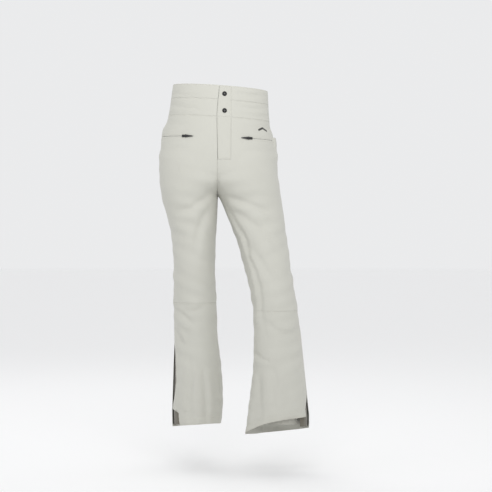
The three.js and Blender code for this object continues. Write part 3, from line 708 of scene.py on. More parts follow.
def leg_panel(name, side, facing, heights, groups, hem=False, room=None):
    """A grid of one half: rows at the heights, columns in groups between stop angles, its
    points lifted off the form by the relief. room says which quads are left out."""
    z_rows = stops(*heights, step=PANEL_STEP)
    z_grid = z_rows[:, None]
    spans = []
    for k, (low, high, count_length) in enumerate(groups):
        share = spaced(count_length, PANEL_STEP)
        share = share if k == 0 else share[1:]
        spans.append(low(z_grid) + (high(z_grid) - low(z_grid)) * share[None, :])
    angle = facing * np.concatenate(spans, 1)
    z = raised_hem(angle, z_grid) if facing > 0 and side == "left" else hem_drop(side, angle, z_grid)
    z = np.broadcast_to(z, angle.shape)
    plain = skin(side, angle, z)
    away = outward(side, angle, z)
    rise = relief(side, angle, z, plain, hem=hem)
    lift = away * rise[..., None]
    near_middle = np.where(z > CROTCH_Z - 2, step_up(0.4, 14, np.abs(plain[..., 0])), 1)
    seam_top = FLY_BOTTOM_Z - 1 if facing > 0 else YOKE_Z + 1
    at_middle = np.where((z > CROTCH_Z - 0.5) & (z < seam_top) & (np.abs(plain[..., 0]) < 1),
                         plain[..., 0], 0)
    lift[..., 0] = lift[..., 0] * near_middle - at_middle
    points = plain + lift
    along = reach(plain)[1]
    to_hem = along[-1:] - along if hem else np.full(along.shape, 1e3)
    keep = None if room is None else room(angle, z)
    # The cloth's colour darkens and browns towards the hem's edge, with a trace on the flares above.
    mesh = grid_mesh(name, points, away, keep, hem_darkening=hem_darkening_amount(z, to_hem))
    piece = laid_piece(name, mesh, softshell, "trousers", SHELL)
    LAID[name] = points, away
    return piece, points, keep


def seam_angle(side, vent):
    """The angle where the side seam, or the vent below it, ends."""
    return lambda z: np.maximum(vent(z) - GAP, 0.02) / middle_half(side, z)[1]


def quad_all(test):
    """True for the quads whose four corners all pass the test."""
    return test[:-1, :-1] & test[1:, :-1] & test[:-1, 1:] & test[1:, 1:]


def pocket_slot(angle, z):
    """Keeps every quad but those between the two lips of the hip pocket's slot."""
    inside = (np.abs(z - POCKET_Z) < SLOT_HALF + 0.01)
    inside &= (angle > POCKET_OPEN - 0.05) & (angle < POCKET_CLOSED + 0.05)
    return ~quad_all(inside)


def middle_of_body(side):
    """Where a panel meets the middle plane, or the inseam below the crotch."""
    return lambda z: inner_angle(side, z)


front_rows = (YOKE_Z, POCKET_Z + 12, POCKET_Z + 6, POCKET_Z + 3, POCKET_Z + SLOT_HALF + 1,
              POCKET_Z + SLOT_HALF, POCKET_Z - SLOT_HALF, POCKET_Z - SLOT_HALF - 1, POCKET_Z - 3,
              POCKET_Z - 6, POCKET_Z - 12, FLY_BOTTOM_Z + 1, FLY_BOTTOM_Z - GAP, CROTCH_Z + 0.4,
              CROTCH_Z - 0.4)


def right_inner(z):
    """Inner edge of the right front: the fly's edge, then the middle seam, then inseam."""
    fly = angle_at("right", right_edge(z), z)
    return np.where(z > FLY_BOTTOM_Z - 1, fly, inner_angle("right", z))


def left_fold(z):
    """The fly cover's fold on the left front, carried on down towards the knee."""
    fold = angle_at("left", hinge_x(z) + GAP, z)
    below = inner_angle("left", z) - 0.24
    return np.where(z > FLY_BOTTOM_Z - GAP - 0.2, fold,
                    below + (angle_at("left", 42.3, z) - below) * step_up(-345, -238, z))


def left_front_room(angle, z):
    """Leaves out the pocket's slot and the room for the fly's cover."""
    cover = (z > FLY_BOTTOM_Z - GAP - 0.1) & (angle > left_fold(z) - 0.001)
    return pocket_slot(angle, z) & ~quad_all(cover)


for side in SIDES:
    knee = KNEE_Z[side]
    if side == "right":
        groups = [(seam_angle(side, vent_half), right_inner, FRONT_ARC)]
        room = pocket_slot
    else:
        groups = [(seam_angle(side, vent_half), left_fold, FRONT_ARC - PLACKET_ARC),
                  (left_fold, middle_of_body(side), PLACKET_ARC)]
        room = left_front_room
    made = leg_panel(f"shell_front_{side}", side, 1, front_rows + (knee,), groups,
                     room=room)
    as_cloth(made[1], f"front_{side}", keep=made[2])
    shin_rows = (knee, VENT_TOP_Z, VENT_TOP_Z - 12, -1037, -1038.5, -1040, -1041.5, -1043,
                 -1046, -1050, HEM_Z)
    made = leg_panel(f"shell_shin_{side}", side, 1, shin_rows,
                     [(seam_angle(side, shin_vent[side]), middle_of_body(side), SHIN_ARC)], hem=True)
    as_cloth(made[1], f"shin_{side}")
    made = leg_panel(f"shell_back_{side}", side, -1,
                     (YOKE_Z, FLY_BOTTOM_Z, CROTCH_Z + 0.4, CROTCH_Z - 0.4, VENT_TOP_Z,
                      VENT_TOP_Z - 12, NOTCH_TOP_Z, HEM_Z),
                     [(seam_angle(side, vent_half), middle_of_body(side), SHIN_ARC)], hem=True)
    as_cloth(made[1], f"back_{side}")


# ---------------------------------------------------------------- waistband
# A deep two-part band in the same softshell, one strip above the other, closed at the
# front by the tab and lined with a soft brushed facing that runs round inside.
BAND_SEAM_Z = -45
BAND_STEP = 3.0
BAND_DRAGS = [
    ([(-158, -20), (-110, -29), (-56, -36)], 6, 1.3, 0.9, 1),
    ([(-160, -56), (-118, -68), (-56, -78)], 7, 1.5, 0.9, 1),
    ([(-168, -84), (-126, -95), (-76, -99)], 6, 1.2, 0.9, 1),
    ([(50, -24), (104, -31), (158, -28)], 6, 1.2, 0.9, -1),
    ([(52, -62), (100, -74), (156, -70)], 7, 1.5, 0.9, -1),
    ([(84, -92), (124, -100), (168, -95)], 6, 1.1, 0.9, -1),
]
BAND_ROLL = {"u": 0.5, "d": 0.45, "l": 0.3, "r": 0.2}


def band_strip(name, node, column_side, column_angle, top, bottom):
    """A strip of the band: column_side says which half each column lies on (-1 or 1) and
    column_angle gives its angle at each height; its relief is the seams' and a calm."""
    z = stops(top, bottom, step=BAND_STEP)[:, None]
    angle = column_angle(z)
    shape = np.broadcast(angle, z).shape
    z = np.broadcast_to(z, shape)
    angle = np.broadcast_to(angle, shape)
    on_left = np.broadcast_to(column_side > 0, shape)[..., None]
    plain = np.where(on_left, skin("left", angle, z), skin("right", angle, z))
    away = np.where(on_left, outward("left", angle, z), outward("right", angle, z))
    across, along = reach(plain)
    rise = np.where(on_left[..., 0], folds("left", angle, z), folds("right", angle, z)) * 0.6
    rise = rise + edge_roll(plain, BAND_ROLL)
    free = np.sin(np.pi * along / along[-1:])
    drawn = sum(crease(plain[..., 0], plain[..., 2], *drag) for drag in BAND_DRAGS)
    rise = rise + free * (0.35 + drawn * step_up(0.0, 0.35, np.sin(angle)))
    rise = rise + puckers(along, across, 0.22, 8.5) + puckers(along[-1:] - along, across, 0.22, 8.5)
    points = plain + away * rise[..., None]
    mesh = grid_mesh(name, points, away, hem_darkening=np.zeros(shape))
    piece = laid_piece(name, mesh, softshell, "trousers", SHELL)
    LAID[name] = points, away
    as_cloth(points, node)
    return piece


def tab_side(z):
    """The left end of the band, along the fold of the tab."""
    return angle_at("left", hinge_x(z), z)


def fly_side(z):
    """The right end of the band, along the fly's free edge."""
    return angle_at("right", right_edge(z), z)


BANDS = {"upper": (0, BAND_SEAM_Z), "lower": (BAND_SEAM_Z, YOKE_Z)}
BAND_ARC = {"right": 230, "left": 180, "back": 460}
for band_name, (top, bottom) in BANDS.items():
    for side, front_end in (("right", fly_side), ("left", tab_side)):
        share = spaced(BAND_ARC[side], BAND_STEP)[None, :]
        band_strip(f"band_{band_name}_{side}", f"waistband_{band_name}_{side}",
                   np.full(share.shape, SIGN[side]), lambda z: share * front_end(z), top, bottom)
    turn = spaced(BAND_ARC["back"], BAND_STEP)[None, :] * 2 - 1
    band_strip(f"band_{band_name}_back", f"waistband_{band_name}_back", np.sign(turn),
               lambda z: -(1 - np.abs(turn)) * np.pi / 2 + 0 * z, top, bottom)

# The facing's cloth is also cut for the fly's shield and the pocket bags.
brushed = woven("brushed_facing", (0.66, 0.66, 0.60), (0.58, 0.58, 0.52), 0.9, 0.5,
                weave=420.0, depth=0.0003)


def inner_strip(name, node, points, away, material, thickness,
                looped=False):
    """A lining layer laid at its own depth inside the shell."""
    mesh = grid_mesh(name, points, away, looped=looped, hem_darkening=np.zeros(points.shape[:2]))
    piece = laid_piece(name, mesh, material, "trousers", thickness)
    as_cloth(points if not looped else np.concatenate([points, points[:, :1]], 1), node)


FACING_START = {"right": 42, "left": 56}
FACING_ARC = 940
FACING_SINK = 3.4
facing_z = stops(-3, YOKE_Z + 3, step=4.0)[:, None]
facing_turn = (spaced(FACING_ARC, 5.0) * 2 - 1)[None, :]
facing_angle = {}
for side in SIDES:
    start = angle_at(side, FACING_START[side], facing_z, FACING_SINK)
    facing_angle[side] = -np.pi / 2 + (start + np.pi / 2) * np.abs(facing_turn)
facing_left = np.broadcast_to(facing_turn > 0, facing_angle["left"].shape)[..., None]
facing_sink = FACING_SINK + 0.25 * np.sin(facing_turn * 40) * np.ones_like(facing_z)
facing_points = np.where(facing_left, skin("left", facing_angle["left"], facing_z, facing_sink),
                         skin("right", facing_angle["right"], facing_z, facing_sink))
facing_away = np.where(facing_left, outward("left", facing_angle["left"], facing_z),
                       outward("right", facing_angle["right"], facing_z))
inner_strip("brushed_waist_facing", "waist_facing", facing_points, facing_away, brushed,
            1.1)


# ---------------------------------------------------------------- fly and tab
# The tab and the fly's cover are one flap in cloth, folding back on a line sewn into the
# left front. Under them lie the underlap with its studs, and a brushed shield.
FLY_ROLL = {"u": 0.4, "d": 0.15, "l": 0.9, "r": 0.12}


def fly_layer(name, node, left, right, top, bottom, inset, material, thickness,
              body, swell=0.3, step=2.6, holes=()):
    """A layer of the fly between two edges, each a distance as a function of the height;
    its edges roll inwards and its face swells a little between them."""
    z = stops(top, bottom, step=step)[:, None]
    share = spaced(PLACKET_ARC, step, edge=(0.5, 1.3, 2.6))[None, :]
    x = left(z) + (right(z) - left(z)) * share
    z = np.broadcast_to(z, x.shape)
    plain = front(x, z, inset)
    away = unit(np.cross(front(x + 0.5, z, inset) - front(x - 0.5, z, inset),
                         front(x, z + 0.5, inset) - front(x, z - 0.5, inset)))
    along = reach(plain)[1]
    rise = edge_roll(plain, FLY_ROLL)
    rise = rise + swell * np.sin(np.pi * share) * np.sin(np.pi * along / along[-1:])
    for hole in holes:
        rise = rise - SNAP_DENT * bump(np.hypot(x - SNAP_X, z - hole), 0, DENT_WIDTH)
    points = plain + away * rise[..., None]
    mesh = grid_mesh(name, points, away, hem_darkening=np.zeros(x.shape))
    piece = laid_piece(name, mesh, material, body, thickness)
    LAID[name] = points, away
    as_cloth(points, node)


SNAP_X = 22
SNAP_Z = (-27, -81)
SNAP_DENT, DENT_WIDTH = 0.55, 9.0
UNDERLAP_END_X, UNDERLAP_DEPTH = -34, 7.0
SHIELD_X, SHIELD_DEPTH = (-22, 46), 12.6
fly_layer("snap_tab", "waist_tab", fly_edge, hinge_x, 0, YOKE_Z, 0, softshell,
          SHELL, "fly_flap", holes=SNAP_Z)
fly_layer("fly_cover_flap", "fly_cover", fly_edge, hinge_x, YOKE_Z, FLY_BOTTOM_Z, 0,
          softshell, SHELL, "fly_flap")
fly_layer("band_underlap", "waist_underlap", lambda z: UNDERLAP_END_X + 0 * z,
          lambda z: hinge_x(z) - 3, -2, YOKE_Z + 2, UNDERLAP_DEPTH, softshell, 1.9,
          "trousers", 0.15, 3.2)
fly_layer("brushed_fly_shield", "fly_shield", lambda z: SHIELD_X[0] + 0 * z,
          lambda z: SHIELD_X[1] + 0 * z, YOKE_Z - 3, FLY_BOTTOM_Z - 1, SHIELD_DEPTH, brushed,
          1.6, "trousers", 0.15, 3.6)


# ---------------------------------------------------------------- snaps
# Blackened ring snaps: a domed cap with a bright centre riveted through the tab, and the
# socket, stud and back plate in plain nickel under it.
def coloured_metal(name, colour, roughness, scratch=0.08):
    """A plated metal: metallic shader, brushed and spotted roughness, faint hammer bump."""
    material, shader, add, join = nodes_of(name)
    shader.inputs["Metallic"].default_value = 1.0
    spot = add("TexCoord")
    cloud = add("TexNoise", Scale=900.0, Detail=4.0, Roughness=0.6)
    join(spot, "Object", cloud, "Vector")
    uneven_gloss(add, join, cloud, shader, roughness - scratch, roughness + scratch)
    tint = two_tone(add, [0.8 * c for c in colour], colour, 0.15)
    join(cloud, "Fac", tint, "Fac")
    join(tint, "Color", shader, "Base Color")
    dent = add("Bump", Strength=0.2, Distance=0.00004)
    join(cloud, "Fac", dent, "Height")
    join(dent, "Normal", shader, "Normal")
    return material


black_metal = coloured_metal("blackened_snap", (0.020, 0.020, 0.021), 0.38)
nickel = coloured_metal("nickel_snap", (0.62, 0.61, 0.58), 0.30)
gunmetal = coloured_metal("gunmetal_eyelet", (0.10, 0.10, 0.098), 0.32)


def snap_frame(z):
    """Origin and three axes of a snap: across the tab, up it, and straight out of it."""
    at = front(SNAP_X, z)
    across = unit(front(SNAP_X + 5, z) - front(SNAP_X - 5, z))
    up = front(SNAP_X, z + 5) - front(SNAP_X, z - 5)
    out = unit(np.cross(across, up))
    return at, across, np.cross(out, across), out


def turned_mesh(name, profile, frame_of, segments=40):
    """A profile of radius and height pairs turned about a snap's axis, closed on it."""
    at, across, up, out = frame_of
    radius, height = np.array(profile, float).T
    angle = np.linspace(0, 2 * np.pi, segments, endpoint=False)
    ring = (np.cos(angle)[None, :, None] * across + np.sin(angle)[None, :, None] * up)
    inner = slice(1, -1)
    points = at + ring * radius[inner, None, None] + out * height[inner, None, None]
    index, quads = quads_over(points.shape[:2], True)
    ends = np.stack([at + out * height[0], at + out * height[-1]])
    foot = points.shape[0] * segments
    top = foot + 1
    caps = [(foot, int(b), int(a)) for a, b in zip(index[0], index[0, 1:])]
    caps += [(top, int(a), int(b)) for a, b in zip(index[-1], index[-1, 1:])]
    return mesh_of(name, np.concatenate([points.reshape(-1, 3), ends]),
                   quads.reshape(-1, 4).tolist() + caps)


CAP_PROFILE = [(0, -2.2), (1.8, -2.2), (1.8, 0.1), (7.1, 0.1), (7.45, 0.3), (7.5, 0.7),
               (7.3, 1.05), (6.6, 1.35), (5.6, 1.62), (4.6, 1.8), (3.9, 1.84), (3.4, 1.7),
               (3.2, 1.4), (3.1, 1.1), (0, 1.1)]
EYELET_PROFILE = [(0, 1.05), (3.0, 1.05), (3.05, 1.5), (2.8, 1.78), (2.35, 1.84), (1.9, 1.7),
                  (1.7, 1.35), (1.5, 1.2), (0.7, 1.16), (0, 1.16)]
for number, snap_z in enumerate(SNAP_Z, 1):
    place = snap_frame(snap_z)
    dome = laid_piece(f"ring_cap_{number}", turned_mesh(f"ring_cap_{number}", CAP_PROFILE, place),
                      black_metal, "fly_flap")
    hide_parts(f"snap_cap_{number}")
    laid_piece(f"cap_eyelet_{number}", turned_mesh(f"cap_eyelet_{number}", EYELET_PROFILE, place),
               gunmetal, "fly_flap")
    for part in ("socket", "stud", "back"):
        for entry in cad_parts[f"snap_{part}_{number}"].material_slots:
            entry.material = nickel


# ---------------------------------------------------------------- topstitching
# Lockstitch rows in matching polyester: beside the band seams, round the tab, down the
# sides, across the knees and over each hem. Each stitch is a short thread that dives in.
thread_cloth = woven("topstitch_thread", (0.66, 0.65, 0.58), (0.52, 0.51, 0.45), 0.55, 0.3,
                     weave=1500.0, depth=0.00005, rib=40)
THREAD_RADIUS = 0.27
THREAD_SIDES = 6
STITCH_PITCH, STITCH_LENGTH, STITCH_LIFT = 3.3, 2.5, 0.05
ROW_TRIM = 3.0
STATIONS = np.array([0.0, 0.1, 0.32, 0.68, 0.9, 1.0])
FATNESS = np.array([0.3, 0.8, 1.0, 1.0, 0.8, 0.3])


def outward_mesh(mesh):
    """Turns every closed shell of a mesh to face outwards."""
    work = bmesh.new()
    work.from_mesh(mesh)
    bmesh.ops.recalc_face_normals(work, faces=work.faces)
    work.to_mesh(mesh)
    work.free()


def ring_tubes(name, points):
    """Quads over rows of rings of points, each row closed by its two end rings."""
    index, quads = quads_over(points.shape[:-1], True)
    sides = points.shape[-2]
    ends = [index[..., 0, sides - 1::-1], index[..., -1, :sides]]
    faces = quads.reshape(-1, 4).tolist()
    for end in ends:
        faces += end.reshape(-1, sides).tolist()
    return mesh_of(name, points, faces)


def threads(name, start, end, away, material, body, sink=0.7):
    """Short threads between pairs of points: a ring of points at each station along the
    length, thinner and deeper at both ends, closed by a fan of the last ring."""
    run = end - start
    length = np.linalg.norm(run, axis=1, keepdims=True)
    run = run / length
    across = unit(np.cross(away, run))
    up = np.cross(run, across)
    turn = np.linspace(0, 2 * np.pi, THREAD_SIDES, endpoint=False)
    middle = start[:, None] + (length * STATIONS)[..., None] * run[:, None]
    lift = THREAD_RADIUS * (np.sin(np.pi * STATIONS) * (1 + sink) - sink)
    middle = middle + lift[None, :, None] * up[:, None]
    ring = np.cos(turn)[:, None] * across[:, None] + np.sin(turn)[:, None] * up[:, None]
    points = middle[:, :, None] + THREAD_RADIUS * FATNESS[None, :, None, None] * ring[:, None]
    mesh = ring_tubes(name, points)
    lay_uv(mesh, np.broadcast_to(turn * THREAD_RADIUS, points.shape[:3]).ravel(),
           np.broadcast_to((length * STATIONS)[:, :, None], points.shape[:3]).ravel())
    return laid_piece(name, mesh, material, body)


def beside_edge(name, edge, distance):
    """The line over a laid cloth that keeps a distance from one edge, and its outward
    directions: each column's two nearest points, blended."""
    lines = []
    points, away = LAID[name]
    for grid in (points, away):
        lines.append({"u": grid, "d": grid[::-1], "l": grid.transpose(1, 0, 2),
                      "r": grid.transpose(1, 0, 2)[::-1]}[edge])
    along = reach(lines[0])[1]
    k = (along < distance).sum(0).clip(1, len(along) - 1)
    column = np.arange(along.shape[1])
    low, high = along[k - 1, column], along[k, column]
    t = ((distance - low) / (high - low))[:, None]
    return [line[k - 1, column] * (1 - t) + line[k, column] * t for line in lines]


def stitched(name, runs, body="trousers"):
    """Stitches at an even pitch along lines, each a thread from a point to the next."""
    starts, ends, ups = [], [], []
    for points, away in runs:
        travel = np.pad(np.linalg.norm(np.diff(points, axis=0), axis=1).cumsum(), (1, 0))
        at = np.arange(ROW_TRIM, travel[-1] - ROW_TRIM - STITCH_LENGTH, STITCH_PITCH)

        def along(values, where):
            return np.stack([np.interp(where, travel, values[:, k]) for k in range(3)], -1)

        up = along(away, at)
        starts.append(along(points, at) + up * STITCH_LIFT)
        ends.append(along(points, at + STITCH_LENGTH) + up * STITCH_LIFT)
        ups.append(up)
    threads(name, np.concatenate(starts), np.concatenate(ends), np.concatenate(ups),
            thread_cloth, body)


SEAM_ROW = 2.8
TAB_ROW = 3.0
HEM_ROW = 22.5
for row_name, names in (
        ("waist_top_stitches", ("band_upper_right", "band_upper_left", "band_upper_back")),
        ("band_seam_stitches", ("band_lower_right", "band_lower_left", "band_lower_back")),
        ("yoke_stitches", ("shell_front_right", "shell_back_right", "shell_back_left")),
        ("knee_stitches", ("shell_shin_right", "shell_shin_left"))):
    stitched(row_name, [beside_edge(name, "u", SEAM_ROW) for name in names])
TAB_SIDE_X = 45.5
yoke_left, yoke_away = beside_edge("shell_front_left", "u", SEAM_ROW)
before_fold = yoke_left[:, 0] > TAB_SIDE_X
stitched("yoke_stitches_left", [(yoke_left[before_fold], yoke_away[before_fold])])
stitched("side_stitches", [beside_edge(f"shell_back_{side}", "l", SEAM_ROW) for side in SIDES])
stitched("hem_stitches", [beside_edge(f"shell_{part}_{side}", "d", HEM_ROW)
                          for part in ("shin", "back") for side in SIDES])
stitched("tab_stitches", [beside_edge("snap_tab", edge, TAB_ROW) for edge in "lur"],
         body="fly_flap")
stitched("cover_stitches", [beside_edge("fly_cover_flap", edge, row) for edge, row in
                            (("l", TAB_ROW), ("r", TAB_ROW), ("d", TAB_ROW + 1))], body="fly_flap")
right_front, right_away = beside_edge("shell_front_right", "r", TAB_ROW)
below_crotch = (right_front[:, 2] < FLY_BOTTOM_Z - 3) & (right_front[:, 2] > CROTCH_Z + 4)
stitched("crotch_stitches", [(right_front[below_crotch], right_away[below_crotch])])


def round_slot(side, height, low, high):
    """A row of stitches at one height across the hip, from one angle to another."""
    angle = np.linspace(low, high, 60)
    z = np.full(angle.shape, POCKET_Z + height)
    away = outward(side, angle, z)
    return skin(side, angle, z) + away * folds(side, angle, z)[:, None], away


stitched("pocket_stitches", [round_slot(side, height, POCKET_OPEN - 0.13, POCKET_CLOSED + 0.10)
                             for side in SIDES for height in (5.0, -5.0)])


# ---------------------------------------------------------------- motif
# A small plain chevron in charcoal satin stitch above the left pocket: slim threads laid
# side by side across its two strokes.
charcoal_thread = woven("charcoal_thread", (0.045, 0.043, 0.040), (0.022, 0.021, 0.020), 0.42,
                        0.4, weave=1500.0, depth=0.00005, rib=40)
CHEVRON_Z, CHEVRON_RISE, STROKE_HALF = -136, 9, 3.6
CHEVRON_ANGLES = (0.43, 0.72)
satin = np.linspace(0, 1, 96)
satin_angle = CHEVRON_ANGLES[0] + (CHEVRON_ANGLES[1] - CHEVRON_ANGLES[0]) * satin
satin_z = CHEVRON_Z + CHEVRON_RISE - 2 * CHEVRON_RISE * np.abs(satin - 0.5)
satin_away = outward("left", satin_angle, satin_z)
satin_lift = folds("left", satin_angle, satin_z)[:, None] + 0.25
satin_up = skin("left", satin_angle, satin_z + STROKE_HALF) + satin_away * satin_lift
satin_down = skin("left", satin_angle, satin_z - STROKE_HALF) + satin_away * satin_lift
chevron = threads("stitched_chevron", satin_up, satin_down, satin_away, charcoal_thread,
                  "trousers", sink=0.3)
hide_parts("stitched_motif")


# ---------------------------------------------------------------- zips
# Coil zips on woven tape: behind the fly's cover, behind the lips of each hip pocket, and
# in taupe down the side of each shin. Every coil is a bead on its tape's edge.
FLY_ZIP_X = 17
FLY_ZIP_DEPTH = 8
POCKET_ZIP_DEPTH = 5.4
HEM_ZIP_DEPTH = 5.8
HEM_SLIDER_Z = -1018
HEM_ZIP_TOP_Z = VENT_TOP_Z - 16
TAPE_REACH = 13
COIL_PITCH = 1.35
FLY_TAPE_REACH = {"right": 29, "left": 33}
FLY_ZIP_LENGTH = 131
POCKET_ZIP_LENGTH = 140
HEM_ZIP_LENGTH = 278
pale_tape = woven("zip_tape", (0.60, 0.59, 0.53), (0.50, 0.49, 0.44), 0.8, 0.2, weave=900.0,
                  depth=0.00015, rib=0)
taupe = woven("gusset_taupe", (0.175, 0.160, 0.128), (0.120, 0.108, 0.084), 0.78, 0.35,
              weave=380.0, depth=0.0004, rib=0)


def moulded(name, colour, roughness):
    """Moulded plastic: a faint mottle, spark-eroded grain in the bump, a thin gloss."""
    material, shader, add, join = nodes_of(name)
    spot = add("TexCoord")
    speck = add("TexNoise", Scale=1800.0, Detail=3.0, Roughness=0.6)
    cloud = add("TexNoise", Scale=130.0, Detail=3.0, Roughness=0.5)
    join(spot, "Object", speck, "Vector")
    join(spot, "Object", cloud, "Vector")
    tint = two_tone(add, [0.75 * c for c in colour], [1.2 * c for c in colour])
    join(cloud, "Fac", tint, "Fac")
    join(tint, "Color", shader, "Base Color")
    uneven_gloss(add, join, speck, shader, roughness - 0.08, roughness + 0.10)
    shader.inputs["Coat Weight"].default_value = 0.15
    shader.inputs["Coat Roughness"].default_value = 0.3
    raised = add("Bump", Strength=0.4, Distance=0.00003)
    join(speck, "Fac", raised, "Height")
    join(raised, "Normal", shader, "Normal")
    return material


pale_coil = moulded("pale_coil", (0.56, 0.55, 0.50), 0.4)
taupe_coil = moulded("taupe_coil", (0.085, 0.077, 0.060), 0.38)
black_plastic = moulded("black_slider", (0.012, 0.012, 0.013), 0.36)
bead_round = np.linspace(0, 2 * np.pi, 8, endpoint=False)
bead_long = np.linspace(0, 1, 6)


def zip_half(name, node, way, tape_reach, length, place, tape, coil):
    """Half a zip: a grid of tape from the coil outwards with a selvedge rib, and a row of
    beads, each an oval ring swept from the coil's edge to the tape and closed."""
    t = np.linspace(0, 1, int(length / 4) + 2)[:, None]
    v = np.concatenate([[1.3, 2.4, 3.2], np.linspace(4.2, tape_reach, 6)])[None, :]
    weave = 0.12 * np.cos(v * 2.2)
    points = place(t, way * v, weave + 0.3)
    back = place(t, way * v, weave - 1.0)
    tape_mesh = grid_mesh(name, points, points - back)
    tape_piece = laid_piece(name, tape_mesh, tape, "trousers", 0.6)
    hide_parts(node)
    centre = (np.arange(int(length / COIL_PITCH)) + 0.5) * COIL_PITCH
    share, turn = np.meshgrid(bead_long, bead_round, indexing="ij")
    thick = np.sin(np.pi * (0.06 + 0.88 * share)) ** 0.35
    bead_v = 0.5 + 2.3 * share
    bead_h = 0.9 * thick * np.sin(turn)
    bead_t = 0.46 * thick * np.cos(turn)
    where = (centre[:, None, None] + bead_t[None]) / length
    points = place(where, way * bead_v[None] + 0 * where, bead_h[None] + 0 * where)
    mesh = ring_tubes(name + "_coil", points)
    outward_mesh(mesh)
    laid_piece(name + "_coil", mesh, coil, "trousers")


def fly_place(t, v, h):
    """The fly's zip: dead straight from below the yoke to the foot of the fly."""
    top = front(FLY_ZIP_X + v + 0 * t, YOKE_Z - 4 + 0 * t, FLY_ZIP_DEPTH - h)
    foot = front(FLY_ZIP_X + v + 0 * t, FLY_BOTTOM_Z + 2 + 0 * t, FLY_ZIP_DEPTH - h)
    t = np.broadcast_to(t, top.shape[:-1])[..., None]
    return top + (foot - top) * t


def pocket_place(side):
    """The hip zip: level round the hip, under the slot's lips."""
    def place(t, v, h):
        angle = POCKET_OPEN - 0.08 + (POCKET_CLOSED - POCKET_OPEN + 0.15) * t
        return skin(side, angle, POCKET_Z + v, POCKET_ZIP_DEPTH - h)

    return place


def hem_frame(side):
    """Origin and axes of the hem slider's straight run: down it, across it, outwards."""
    low = skin(side, 0.0, HEM_SLIDER_Z)
    high = skin(side, 0.0, HEM_ZIP_TOP_Z)
    out = low - skin(side, 0.0, HEM_SLIDER_Z, 10) + high - skin(side, 0.0, HEM_ZIP_TOP_Z, 10)
    down = unit(low - high)
    out = unit(out - down * (out @ down))
    return low, high, down, np.cross(out, down), out


def hem_place(side):
    """The hem zip: dead straight to the notch, then spread apart along the notch's edges."""
    low, high, down, across, out = hem_frame(side)
    way = 1 if side == "right" else -1

    def place(t, v, h):
        z, v, h = np.broadcast_arrays(VENT_TOP_Z - 4 + (HEM_Z + 8 - VENT_TOP_Z) * t, v, h)
        travel = (low[2] - z) / (high[2] - low[2]) * np.linalg.norm(high - low)
        straight = (low + travel[..., None] * down + (way * v)[..., None] * across
                    + (h - HEM_ZIP_DEPTH)[..., None] * out)
        spread = np.sign(v) * np.maximum(0, vent_half(z) - VENT_HALF)
        angle = (v + spread) / middle_half(side, z)[1]
        opened = skin(side, angle, hem_drop(side, angle, z), HEM_ZIP_DEPTH - h)
        return np.where((z > NOTCH_TOP_Z)[..., None], straight, opened)

    return place


for side in SIDES:
    zip_half(f"fly_tape_{side}", f"fly_zip_stringer_{side}", SIGN[side], FLY_TAPE_REACH[side],
             FLY_ZIP_LENGTH, fly_place, pale_tape, pale_coil)
for side in SIDES:
    for part, way in (("upper", 1), ("lower", -1)):
        zip_half(f"pocket_tape_{part}_{side}", f"pocket_zip_stringer_{part}_{side}", way,
                 TAPE_REACH, POCKET_ZIP_LENGTH, pocket_place(side), pale_tape, pale_coil)
    for part, way in (("front", 1), ("back", -1)):
        zip_half(f"hem_tape_{part}_{side}", f"hem_zip_stringer_{part}_{side}", way,
                 TAPE_REACH, HEM_ZIP_LENGTH, hem_place(side), taupe, taupe_coil)

for node_name, entry_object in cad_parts.items():
    if node_name.endswith(("_slider", "_pull")):
        for entry in entry_object.material_slots:
            entry.material = black_plastic


